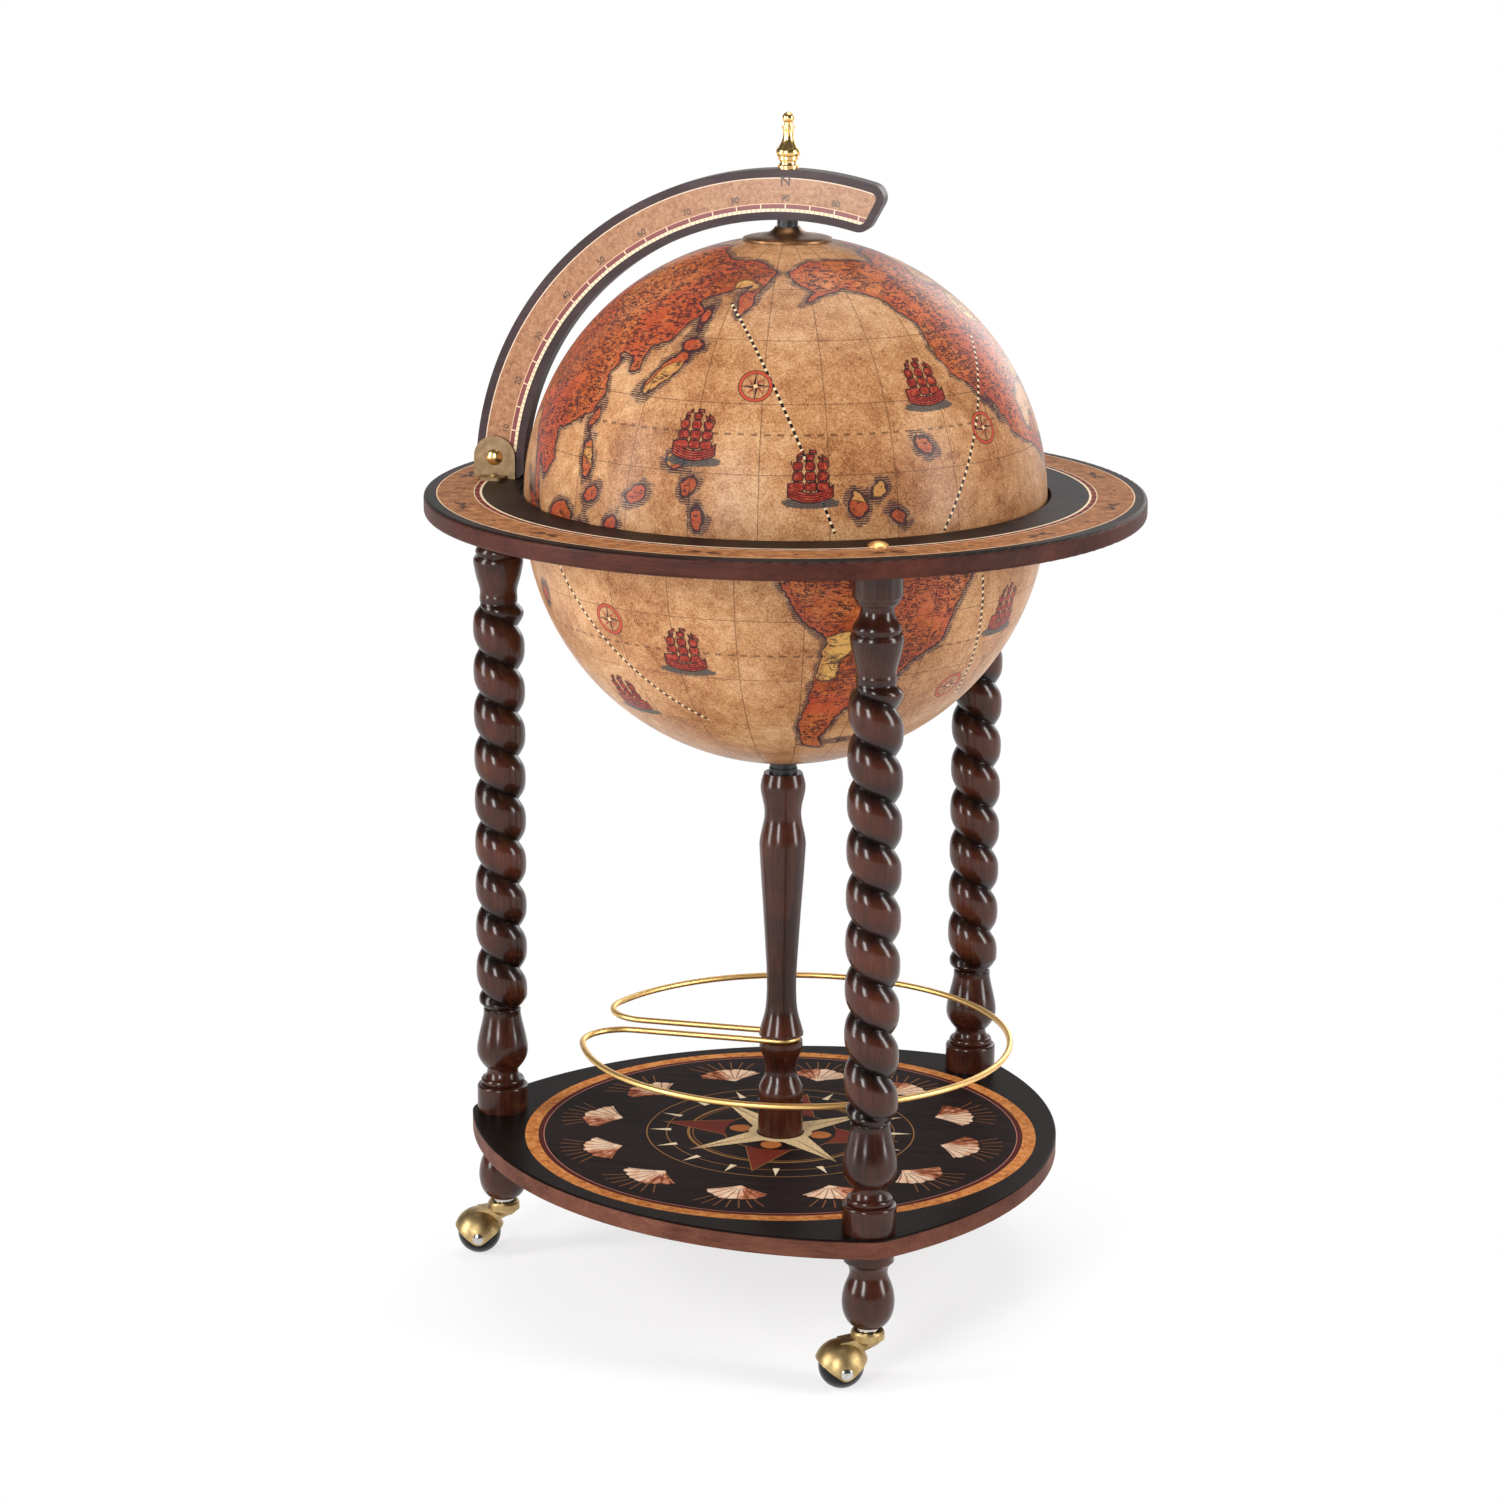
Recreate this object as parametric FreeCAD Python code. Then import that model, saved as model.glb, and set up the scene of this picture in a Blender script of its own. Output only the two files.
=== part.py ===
import FreeCAD, Part
import math
import os

# Floor globe bar: a hinged globe in a horizon ring on three spiral legs, with a bottle shelf on casters.
# Millimetres. The origin is on the floor under the globe's axis, +Z is up and the lid's hinge is at -X.
V = FreeCAD.Vector
UP = V(0, 0, 1)

# Globe
GLOBE_R = 200.0
SHELL_T = 4.5
LID_GAP = 4.0
POLE_FLAT = 0.4
GLUE_LINE = 0.05

# Fits and clearances
RUN_FIT = 0.05
BOLT_PLAY = 0.2
FACE_GAP = 0.4

# Heights that stack up from the floor
WHEEL_R = 17.3
CASTER_H = 48.0
FOOT_H = 60.0
FOOT_R = 19.8
BOARD_T = 15.0
LEG_H = 502.0
RING_T = 15.0
RING_RISE = 10.0

# Horizon ring
RING_W = 73.0
RING_CLEAR = 3.0
RING_ROUND = 3.0
RING_BORDER = 9.5
RING_PRINT_W = 35.0
PRINT_T = 0.5

# Legs and board
LEG_INSET = 46.0
LEG_AZIMUTHS = {"left": 180.0, "front": -60.0, "back": 60.0}
HINGE_LEG = "left"
BOLT_R = 4.0
BOLT_DEPTH = 28.0
BOLT_LAND = 6.0
BLIND_PLAY = 1.0
NUT_R = 7.5
NUT_RIM = 1.4
NUT_H = 4.0
FLUSH_NUT_H = 6.0
BOARD_SIDE_INSET = 13.0
BOARD_CORNER_REACH = 25.5
BOARD_CORNER_ROUND = 25.0
BOARD_EDGE_ROUND = 1.5
BOARD_BORDER = 14.5
LEG_BLOCK_R = 20.4
LEG_CAP_R = 18.5
LEG_FOOT_END = 84.0
LEG_HEAD_END = 84.0
LEG_NECK_H = 4.0
TWIST_OUT_R = 20.3
TWIST_IN_R = 14.4
TWIST_PITCH = 35.0
TWIST_FADE = 10.0
TWIST_STEP = 0.5
TWIST_STEPS_PER_TURN = 10
TWIST_POINTS_ROUND = 6

# Centre column and bottle rail
COLUMN_BLOCK_R = 17.8
COLUMN_BLOCK_H = 27.0
COLUMN_BEAD_H = 2.0
COLUMN_HEAD_H = 57.0
RAIL_WIRE_R = 2.4
RAIL_H = 79.0
RAIL_INSET = 61.5
RAIL_SHIFT_X = 12.0
RAIL_WRAP_R = 13.0
RAIL_CORNER_R = 32.0
BUSH_R = 11.0
BUSH_H = 4.0
SPINDLE_R = 5.0
SPINDLE_DEPTH = 48.0
SPINDLE_NUT_R = 9.0
SPINDLE_NUT_H = 8.0
SPINDLE_WASHER_R = 14.0
SPINDLE_WASHER_T = 1.6
SPINDLE_SPARE = 3.0
SPINDLE_CLEAR = 1.0
COLUMN_SCREW_HEAD_R = 9.0
COLUMN_SCREW_HEAD_H = 4.0
COLUMN_SEAT_R = 18.8

# Bowl and bar insert
COLLAR_R = 12.3
COLLAR_H = 7.4
COLLAR_LIP = 1.8
THRUST_T = 1.0
HUB_R = 30.0
HUB_T = 10.0
TRAY_DEPTH = 40.0
TRAY_T = 6.0
FLOOR_LIFT = 50.0
CLEAT_W = 9.0
BOTTLE_HOLE_R = 45.0
BOTTLE_WEB = 4.0
BOTTLE_COUNT = 3
GLASS_HOLE_R = 31.8
GLASS_EDGE = 5.3
GLASS_COUNT = 6
CUP_DEPTH = 36.0
CUP_WALL = 1.4
CUP_FLANGE = 2.8

# Meridian arc and hinge
ARC_CLEAR = 7.0
ARC_W = 38.0
ARC_T = 16.0
ARC_BORDER = 6.2
ARC_END_X = 76.5
ARC_END_SLOPE = 26.0
ARC_END_ROUND = 11.0
ARC_PRINT_MARGIN = 2.0
PIVOT_SHIFT = 3.0
HEEL_GAP = 0.5
HEEL_BEVEL = 4.0
HINGE_BOLT_R = 4.0
CHEEK_W = 33.0
CHEEK_T = 2.5
TAB_REACH = 13.0
TAB_W = 20.0
SCREW_R = 1.8
SCREW_L = 11.0
SCREW_HEAD_R = 3.8
SCREW_HEAD_H = 2.2
SCREW_SLOT = 0.9
HINGE_HEAD_R = 6.2
HINGE_HEAD_RIM = 1.0
HINGE_HEAD_H = 3.6
HINGE_NUT_T = 5.0

# Lid shell and pole fittings
DOME_PAD_R = 18.0
DOME_PAD_DROP = 1.2
HOOP_W = 7.0
HOOP_H = 12.0
PIN_R = 5.0
PIN_IN_FINIAL = 7.0
POLE_NUT_R = 9.0
POLE_NUT_H = 8.0
BUSHING_R = 8.0
BUSHING_FLANGE_R = 16.0
BUSHING_FLANGE_T = 3.0
CAP_R = 33.5
CAP_TOP_W = 1.45
CAP_H = 7.8
CAP_LIP = 1.6
CAP_SEAT_R = 12.0
SPACER_R = 7.9
FINIAL_H = 42.4
FINIAL_BASE_R = 8.0
FINIAL_BALL_R = 4.6

# Casters
CASTER_TRAIL = 20.0
CASTER_AZIMUTHS = {"left": 193.5, "front": 205.0, "back": 205.0}
WHEEL_HALF_W = 14.5
HOOD_CLEAR = 1.1
HOOD_T = 2.1
HOOD_FACET = 0.6
EAR_R = 6.0
HOOD_RIM_H = 8.0
ARM_W = 15.0
AXLE_R = 2.5
RIVET_R = 4.4
RIVET_H = 2.0
SWIVEL_R = 12.7
SWIVEL_H = 9.0
SWIVEL_LIP = 1.6
SWIVEL_LIP_W = 2.7
STEM_R = 4.0
SOCKET_R = 6.5
SOCKET_L = 26.0
SOCKET_FLANGE_R = 8.6
SOCKET_FLANGE_T = 5.0

# Sizes worked out from the ones above
RING_IN_R = GLOBE_R + RING_CLEAR
RING_OUT_R = RING_IN_R + RING_W
RING_PRINT_OUT_R = RING_OUT_R - RING_BORDER
RING_PRINT_IN_R = RING_PRINT_OUT_R - RING_PRINT_W
LEG_CIRCLE_R = RING_OUT_R - LEG_INSET
BOARD_SIDE_R = LEG_CIRCLE_R - BOARD_SIDE_INSET
BOARD_CORNER_R = LEG_CIRCLE_R + BOARD_CORNER_REACH
BOARD_PRINT_R = BOARD_SIDE_R - BOARD_BORDER
RAIL_LOOP_R = LEG_CIRCLE_R - RAIL_INSET
FLOOR_DEPTH = GLOBE_R - FLOOR_LIFT
BOTTLE_CIRCLE_R = (BOTTLE_HOLE_R + BOTTLE_WEB / 2) / math.sin(math.pi / BOTTLE_COUNT)
ARC_IN_R = GLOBE_R + ARC_CLEAR
ARC_OUT_R = ARC_IN_R + ARC_W
ARC_HALF = ARC_T / 2
HEEL_R = ARC_W / 2 - PIVOT_SHIFT
PIVOT_X = HEEL_R - ARC_OUT_R
CAP_TOP_R = BUSHING_R + RUN_FIT + CAP_TOP_W
HOOD_IN_R = WHEEL_R + HOOD_CLEAR
HOOD_OUT_R = HOOD_IN_R + HOOD_T

# Levels worked out from the sizes above
BOARD_Z = CASTER_H + FOOT_H
SHELF_Z = BOARD_Z + BOARD_T
RING_Z = SHELF_Z + LEG_H
RING_TOP = RING_Z + RING_T
GLOBE_Z = RING_TOP - RING_RISE
LID_Z = GLOBE_Z + LID_GAP
SHELL_IN_R = GLOBE_R - SHELL_T
PIVOT_Z = RING_TOP + HEEL_R + HEEL_GAP
COLLAR_TOP = GLOBE_Z - GLOBE_R + POLE_FLAT
COLLAR_BOTTOM = COLLAR_TOP - COLLAR_H
BUSH_TOP = COLLAR_BOTTOM - RUN_FIT - THRUST_T - FACE_GAP
COLUMN_H = BUSH_TOP - BUSH_H - SHELF_Z
POLE_TOP = LID_Z + GLOBE_R - POLE_FLAT
CAP_TOP = POLE_TOP + CAP_H
SPOT = 0.2
ARC_POLE_IN = RING_TOP + ARC_IN_R + SPOT
ARC_POLE_OUT = RING_TOP + ARC_OUT_R - SPOT


def polar(radius, degrees, z=0.0):
    angle = math.radians(degrees)
    return V(radius * math.cos(angle), radius * math.sin(angle), z)


def rod(radius, start, end):
    """A cylinder between two points."""
    way = end - start
    return Part.makeCylinder(radius, way.Length, start, way)


def disc(radius, low, high, x=0.0, y=0.0):
    """An upright cylinder between two heights."""
    return rod(radius, V(x, y, low), V(x, y, high))


def tube(outer, inner, low, high, x=0.0, y=0.0):
    return disc(outer, low, high, x, y).cut(disc(inner, low, high, x, y))


def on_circle(index, count, radius, turn=0.0):
    spot = polar(radius, 360.0 * index / count + turn)
    return spot.x, spot.y


def group(solids):
    return Part.makeCompound(solids)


def save(node, shape):
    shape.exportStep("parts/" + node + ".step")


def stretch_edge(points):
    """A line through two points or a smooth curve through more, in the XZ half plane."""
    spots = [V(radius, 0, z) for z, radius in points]
    if len(spots) == 2:
        return Part.makeLine(spots[0], spots[1])
    curve = Part.BSplineCurve()
    curve.interpolate(spots)
    return curve.toShape()


def turned(stretches):
    """A piece turned on a lathe: each stretch is a list of (height, radius) going up."""
    edges = []
    here = V(0, 0, stretches[0][0][0])
    for points in stretches:
        start = V(points[0][1], 0, points[0][0])
        if (start - here).Length > 1e-6:
            edges.append(Part.makeLine(here, start))
        edges.append(stretch_edge(points))
        here = V(points[-1][1], 0, points[-1][0])
    top = V(0, 0, here.z)
    if (top - here).Length > 1e-6:
        edges.append(Part.makeLine(here, top))
    edges.append(Part.makeLine(top, V(0, 0, stretches[0][0][0])))
    face = Part.Face(Part.Wire(edges))
    return face.revolve(V(0, 0, 0), UP, 360)


def button(radius, rim, height):
    """A domed head standing on height 0, with a straight rim below the dome."""
    rise = height - rim
    ball = (radius * radius + rise * rise) / (2 * rise)
    half = math.asin(radius / ball) / 2
    middle = V(ball * math.sin(half), 0, height - ball + ball * math.cos(half))
    edges = [
        Part.makeLine(V(0, 0, 0), V(radius, 0, 0)),
        Part.makeLine(V(radius, 0, 0), V(radius, 0, rim)),
        Part.Arc(V(radius, 0, rim), middle, V(0, 0, height)).toShape(),
        Part.makeLine(V(0, 0, height), V(0, 0, 0)),
    ]
    return Part.Face(Part.Wire(edges)).revolve(V(0, 0, 0), UP, 360)


def spread(points, low, high, unit):
    """An outline given as shares: heights of the way from low to high, radii of a unit radius."""
    return [(low + share * (high - low), unit * radius) for share, radius in points]


def spin_outline(corners):
    """A ring or shell of revolution from corners (radius, height) and arcs marked by their middle."""
    edges = []
    for index, corner in enumerate(corners):
        after = corners[(index + 1) % len(corners)]
        start = V(corner[0], 0, corner[1])
        end = V(after[0], 0, after[1])
        if len(corner) == 4:
            edges.append(Part.Arc(start, V(corner[2], 0, corner[3]), end).toShape())
        else:
            edges.append(Part.makeLine(start, end))
    return Part.Face(Part.Wire(edges)).revolve(V(0, 0, 0), UP, 360)


def sphere_r(radius, height):
    """Radius of a sphere's section at a height from its centre."""
    return math.sqrt(radius * radius - height * height)


def sphere_arc(start, end, radius, centre_z):
    """A corner whose edge to the next corner runs along a sphere about (0, 0, centre_z)."""
    middle = (math.atan2(start[1] - centre_z, start[0]) + math.atan2(end[1] - centre_z, end[0])) / 2
    return start[0], start[1], radius * math.cos(middle), centre_z + radius * math.sin(middle)


# Spiral legs
def twist_radius(around, height, length):
    """Radius of the rope-like twist: a round strand with one narrow groove, fading out at both ends."""
    inset = min(height, length - height) / TWIST_FADE
    fade = max(0.0, min(1.0, inset))
    fade = fade * fade * (3 - 2 * fade)
    wave = math.sin(around / 2)
    strand = wave * (1.35 - 0.35 * wave * wave)
    return TWIST_IN_R + fade * (TWIST_OUT_R - TWIST_IN_R) * strand


def twist_half(first, last, base, length):
    """One half of the twisted skin, between two angles counted from the groove."""
    levels = max(8, round(length / TWIST_PITCH * TWIST_STEPS_PER_TURN))
    rows = []
    for level in range(levels + 1):
        height = length * level / levels
        turn = -2 * math.pi * height / TWIST_PITCH
        row = []
        for step in range(TWIST_POINTS_ROUND + 1):
            around = first + (last - first) * step / TWIST_POINTS_ROUND
            radius = twist_radius(around, height, length)
            angle = around + turn
            row.append(V(radius * math.cos(angle), radius * math.sin(angle), base + height))
        rows.append(row)
    skin = Part.BSplineSurface()
    skin.interpolate(rows)
    return skin.toShape()


def twist(base, length):
    """The twisted middle of a leg, a left-handed single strand."""
    halves = [twist_half(0, math.pi, base, length), twist_half(math.pi, 2 * math.pi, base, length)]
    faces = list(halves)
    for level in (base, base + length):
        rims = []
        for half in halves:
            for edge in half.Edges:
                if abs(edge.BoundBox.ZMin - level) < 1e-4 and abs(edge.BoundBox.ZMax - level) < 1e-4:
                    rims.append(edge)
        faces.append(Part.Face(Part.Wire(rims)))
    shell = Part.makeShell(faces)
    shell.sewShape()
    solid = Part.Solid(Part.Shell(shell.Faces))
    if solid.Volume < 0:
        solid.reverse()
    return solid


def is_level(face, height):
    return abs(face.BoundBox.ZMin - height) < 1e-4 and abs(face.BoundBox.ZMax - height) < 1e-4


def cap_face(solid, height):
    """The flat face of a solid at a height."""
    return [face for face in solid.Faces if is_level(face, height)][0]


def step_face(wide, narrow, height):
    """The flat ring left where a narrow piece stands on a wide one."""
    return Part.Face([cap_face(wide, height).OuterWire, cap_face(narrow, height).OuterWire])


def joined(foot_end, middle, head_end):
    """Three pieces stacked into one solid: the flat ends that meet become narrow steps."""
    low_cap = min(middle.Faces, key=lambda face: face.BoundBox.ZMax)
    high_cap = max(middle.Faces, key=lambda face: face.BoundBox.ZMin)
    low = low_cap.BoundBox.ZMin
    high = high_cap.BoundBox.ZMin
    faces = [step_face(foot_end, middle, low), step_face(head_end, middle, high)]
    for piece in (foot_end, middle, head_end):
        faces += [face for face in piece.Faces if not is_level(face, low) and not is_level(face, high)]
    solid = Part.Solid(Part.Shell(faces))
    solid.fix(1e-4, 1e-4, 1e-3)
    return solid


def leg():
    """A leg standing on height 0: turned foot end, twist, turned head end."""
    neck = TWIST_IN_R + TWIST_STEP
    neck_low = LEG_FOOT_END - LEG_NECK_H
    foot_size = (0, LEG_FOOT_END, LEG_BLOCK_R)
    foot_end = turned([
        spread([(0, 1), (0.226, 1)], *foot_size),
        spread([(0.226, 1), (0.244, 0.98), (0.256, 0.892)], *foot_size),
        spread([(0.256, 0.814), (0.274, 0.848), (0.304, 0.843), (0.321, 0.78)], *foot_size),
        spread([(0.321, 0.725), (0.357, 0.632), (0.393, 0.608), (0.429, 0.657)], *foot_size),
        spread([(0.429, 0.696), (0.476, 0.843), (0.536, 0.966), (0.607, 1.005), (0.667, 0.98),
                (0.821, 0.843)], *foot_size) + [(neck_low, neck)],
        [(neck_low, neck), (LEG_FOOT_END, neck)],
    ])
    head = LEG_H - LEG_HEAD_END
    neck_high = head + LEG_NECK_H
    head_size = (head, LEG_H, LEG_CAP_R)
    head_end = turned([
        [(head, neck), (neck_high, neck)],
        [(neck_high, neck)] + spread([(0.1, 0.79), (0.179, 0.876), (0.262, 0.978), (0.333, 1.038),
                                      (0.393, 1.059), (0.423, 1.005)], *head_size),
        spread([(0.423, 0.908), (0.446, 0.908)], *head_size),
        spread([(0.446, 0.941), (0.476, 0.968), (0.5, 0.93), (0.548, 0.789), (0.607, 0.676), (0.655, 0.67),
                (0.679, 0.714)], *head_size),
        spread([(0.679, 0.789), (0.702, 0.865), (0.732, 0.886)], *head_size),
        spread([(0.732, 0.941), (0.756, 1)], *head_size),
        spread([(0.756, 1), (1, 1)], *head_size),
    ])
    foot_end = foot_end.cut(disc(BOLT_R + RUN_FIT, -1, BOLT_DEPTH))
    head_end = head_end.cut(disc(BOLT_R + RUN_FIT, LEG_H - BOLT_DEPTH, LEG_H + 1))
    return joined(foot_end, twist(LEG_FOOT_END, head - LEG_FOOT_END), head_end)


def save_legs():
    pattern = leg()
    for name, azimuth in LEG_AZIMUTHS.items():
        piece = pattern.copy()
        piece.translate(polar(LEG_CIRCLE_R, azimuth, SHELF_Z))
        save("leg_" + name, piece)


# Horizon ring and what holds it
def leg_spots():
    return [polar(LEG_CIRCLE_R, azimuth) for azimuth in LEG_AZIMUTHS.values()]


def screw_spots():
    offset = ARC_HALF + FACE_GAP + CHEEK_T + TAB_REACH / 2
    return [V(PIVOT_X, -offset, RING_TOP), V(PIVOT_X, offset, RING_TOP)]


def horizon_ring():
    ring = tube(RING_OUT_R, RING_IN_R, RING_Z, RING_TOP)
    rims = [edge for edge in ring.Edges if edge.Length > 2 * math.pi * RING_OUT_R - 1 and edge.Closed]
    ring = ring.makeFillet(RING_ROUND, rims)
    ring = ring.cut(tube(RING_PRINT_OUT_R, RING_PRINT_IN_R, RING_TOP - PRINT_T, RING_TOP + 1))
    for spot in leg_spots():
        ring = ring.cut(disc(BOLT_R + BOLT_PLAY, RING_Z - 1, RING_TOP + 1, spot.x, spot.y))
    hidden = polar(LEG_CIRCLE_R, LEG_AZIMUTHS[HINGE_LEG])
    ring = ring.cut(disc(NUT_R + BOLT_PLAY, RING_TOP - FLUSH_NUT_H, RING_TOP + 1, hidden.x, hidden.y))
    for spot in screw_spots():
        ring = ring.cut(disc(SCREW_R + RUN_FIT, RING_TOP - SCREW_L - 1, RING_TOP + 1, spot.x, spot.y))
    return ring


def horizon_print():
    inlay = tube(RING_PRINT_OUT_R - RUN_FIT, RING_PRINT_IN_R + RUN_FIT, RING_TOP - PRINT_T, RING_TOP)
    for name, azimuth in LEG_AZIMUTHS.items():
        spot = polar(LEG_CIRCLE_R, azimuth)
        radius = NUT_R if name == HINGE_LEG else BOLT_R
        inlay = inlay.cut(disc(radius + BOLT_PLAY, RING_TOP - 1, RING_TOP + 1, spot.x, spot.y))
    for spot in screw_spots():
        inlay = inlay.cut(disc(SCREW_R + BOLT_PLAY, RING_TOP - 1, RING_TOP + 1, spot.x, spot.y))
    return inlay


def cap_nut():
    """A domed nut standing on height 0, with a blind hole for the stud."""
    return button(NUT_R, NUT_RIM, NUT_H).cut(disc(BOLT_R + RUN_FIT, -1, NUT_RIM + RUN_FIT))


def save_ring_bolts():
    studs = []
    nuts = []
    for name, azimuth in LEG_AZIMUTHS.items():
        spot = polar(LEG_CIRCLE_R, azimuth)
        top = RING_TOP + NUT_RIM
        if name == HINGE_LEG:
            top = RING_TOP - FACE_GAP
        else:
            nut = cap_nut()
            nut.translate(spot + V(0, 0, RING_TOP))
            nuts.append(nut)
        studs.append(disc(BOLT_R, RING_Z - BOLT_DEPTH + BLIND_PLAY, top, spot.x, spot.y))
    save("ring_bolts", group(studs))
    save("ring_cap_nuts", group(nuts))
    hidden = polar(LEG_CIRCLE_R, LEG_AZIMUTHS[HINGE_LEG])
    low = RING_TOP - FLUSH_NUT_H
    save("ring_flush_nut", tube(NUT_R, BOLT_R + RUN_FIT, low, RING_TOP - FACE_GAP, hidden.x, hidden.y))


# Shelf board, feet and column
def base_board():
    edges = []
    for index in range(3):
        corner = polar(BOARD_CORNER_R, 120.0 * index - 60.0)
        middle = polar(BOARD_SIDE_R, 120.0 * index)
        after = polar(BOARD_CORNER_R, 120.0 * index + 60.0)
        edges.append(Part.Arc(corner, middle, after).toShape())
    board = Part.Face(Part.Wire(edges)).extrude(V(0, 0, BOARD_T))
    uprights = [edge for edge in board.Edges if abs(edge.BoundBox.ZLength - BOARD_T) < 1e-6]
    board = board.makeFillet(BOARD_CORNER_ROUND, uprights)
    rims = [edge for edge in board.Edges if edge.BoundBox.ZLength < 1e-6]
    board = board.makeFillet(BOARD_EDGE_ROUND, rims)
    board.translate(V(0, 0, BOARD_Z))
    board = board.cut(disc(BOARD_PRINT_R, SHELF_Z - PRINT_T, SHELF_Z + 1).cut(column_seat()))
    for spot in leg_spots():
        board = board.cut(disc(BOLT_R + BOLT_PLAY, BOARD_Z - 1, SHELF_Z + 1, spot.x, spot.y))
    return board.cut(disc(BOLT_R + BOLT_PLAY, BOARD_Z - 1, SHELF_Z + 1))


def column_seat():
    """The round of bare wood that is left inside the print for the column to stand on."""
    return disc(COLUMN_SEAT_R, SHELF_Z - 2, SHELF_Z + 2)


def base_print():
    return tube(BOARD_PRINT_R - RUN_FIT, COLUMN_SEAT_R + RUN_FIT, SHELF_Z - PRINT_T, SHELF_Z)


def foot():
    """A turned foot standing on height 0."""
    block = 0.86 * FOOT_H
    body = turned([
        spread([(0, 0.57), (0.043, 0.71), (0.093, 0.81), (0.16, 0.9), (0.26, 0.974), (0.36, 1), (0.46, 0.985),
                (0.56, 0.937), (0.66, 0.853), (0.75, 0.757), (0.82, 0.722), (0.9, 0.757), (0.96, 0.845),
                (1, 0.94)], 0, block, FOOT_R),
        spread([(0, 0.96), (1, 0.96)], block, FOOT_H, FOOT_R),
    ])
    body = body.cut(disc(SOCKET_R + RUN_FIT, -1, SOCKET_L))
    return body.cut(disc(BOLT_R + RUN_FIT, FOOT_H - foot_bolt_depth(), FOOT_H + 1))


def foot_bolt_depth():
    """How far the bolt goes down into the foot, stopping short of the caster's socket."""
    return min(BOLT_DEPTH, FOOT_H - SOCKET_L - BOLT_LAND)


def save_feet():
    pattern = foot()
    bolts = []
    sockets = []
    for name, azimuth in LEG_AZIMUTHS.items():
        spot = polar(LEG_CIRCLE_R, azimuth)
        piece = pattern.copy()
        piece.translate(spot + V(0, 0, CASTER_H))
        save("foot_" + name, piece)
        low = BOARD_Z - foot_bolt_depth() + BLIND_PLAY
        bolts.append(disc(BOLT_R, low, SHELF_Z + BOLT_DEPTH - BLIND_PLAY, spot.x, spot.y))
        sleeve = disc(SOCKET_R, CASTER_H, CASTER_H + SOCKET_L - BLIND_PLAY, spot.x, spot.y)
        flange = disc(SOCKET_FLANGE_R, CASTER_H - SOCKET_FLANGE_T, CASTER_H, spot.x, spot.y)
        bore = disc(STEM_R + RUN_FIT, CASTER_H - SOCKET_FLANGE_T - 1, CASTER_H + SOCKET_L, spot.x, spot.y)
        sockets.append(sleeve.fuse(flange).cut(bore).removeSplitter())
    save("foot_bolts", group(bolts))
    save("caster_sockets", group(sockets))


def center_column():
    """The turned column; its waist grows with the height that is left over."""
    slot = RAIL_WIRE_R + BOLT_PLAY / 2
    low = RAIL_H - slot
    high = RAIL_H + slot
    core = RAIL_WRAP_R - RAIL_WIRE_R - RUN_FIT
    bead = COLUMN_BLOCK_H + COLUMN_BEAD_H
    collar_low = low - COLUMN_BEAD_H
    waist_low = high + COLUMN_BEAD_H
    waist_high = COLUMN_H - COLUMN_HEAD_H
    body = turned([
        spread([(0, 1), (1, 1)], 0, COLUMN_BLOCK_H, COLUMN_BLOCK_R),
        spread([(0, 0.944), (1, 0.944)], COLUMN_BLOCK_H, bead, COLUMN_BLOCK_R),
        spread([(0, 0.989), (0.11, 1.017), (0.24, 0.933), (0.4, 0.742), (0.55, 0.697), (0.73, 0.775),
                (0.88, 0.933), (1, 0.955)], bead, collar_low, COLUMN_BLOCK_R),
        spread([(0, 0.955), (1, 0.955)], collar_low, low, COLUMN_BLOCK_R),
        [(low, core), (high, core)],
        spread([(0, 0.989), (1, 0.989)], high, waist_low, COLUMN_BLOCK_R),
        spread([(0, 0.978), (0.045, 0.876), (0.1, 0.747), (0.175, 0.669), (0.31, 0.663), (0.43, 0.719),
                (0.63, 0.826), (0.83, 0.944), (1, 1.028)], waist_low, waist_high, COLUMN_BLOCK_R),
        spread([(0, 1.028), (0.23, 0.899), (0.4, 0.809), (0.58, 0.865), (0.79, 0.989), (0.95, 0.899),
                (1, 0.843)], waist_high, COLUMN_H, COLUMN_BLOCK_R),
    ])
    body = body.cut(disc(BOLT_R + RUN_FIT, -1, BOLT_DEPTH))
    body.translate(V(0, 0, SHELF_Z))
    foot_of_spindle = SHELF_Z + COLUMN_H - SPINDLE_DEPTH
    return body.cut(disc(SPINDLE_R + RUN_FIT, foot_of_spindle, SHELF_Z + COLUMN_H + 1))


def column_screw():
    head = disc(COLUMN_SCREW_HEAD_R, BOARD_Z - COLUMN_SCREW_HEAD_H, BOARD_Z)
    shank = disc(BOLT_R, BOARD_Z - COLUMN_SCREW_HEAD_H, SHELF_Z + BOLT_DEPTH - BLIND_PLAY)
    return head.fuse(shank).removeSplitter()


def column_bush():
    base = SHELF_Z + COLUMN_H
    return tube(BUSH_R, SPINDLE_R + RUN_FIT, base, base + BUSH_H)


def thrust_washer():
    return tube(BUSH_R - 1.5, SPINDLE_R + RUN_FIT, BUSH_TOP, BUSH_TOP + THRUST_T)


def hub_top():
    return GLOBE_Z - SHELL_IN_R + HUB_T - SHELL_T


def bowl_spindle():
    top = hub_top() + FACE_GAP + SPINDLE_WASHER_T + SPINDLE_NUT_H + SPINDLE_SPARE
    return disc(SPINDLE_R, SHELF_Z + COLUMN_H - SPINDLE_DEPTH + BLIND_PLAY, top)


def bowl_nut():
    low = hub_top() + FACE_GAP
    high = low + SPINDLE_WASHER_T
    washer = disc(SPINDLE_WASHER_R, low, high)
    corners = [polar(SPINDLE_NUT_R, 60.0 * index, high) for index in range(7)]
    nut = Part.Face(Part.makePolygon(corners)).extrude(V(0, 0, SPINDLE_NUT_H))
    return washer.fuse(nut).cut(disc(SPINDLE_R + RUN_FIT, low - 1, high + SPINDLE_NUT_H + 1)).removeSplitter()


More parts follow.
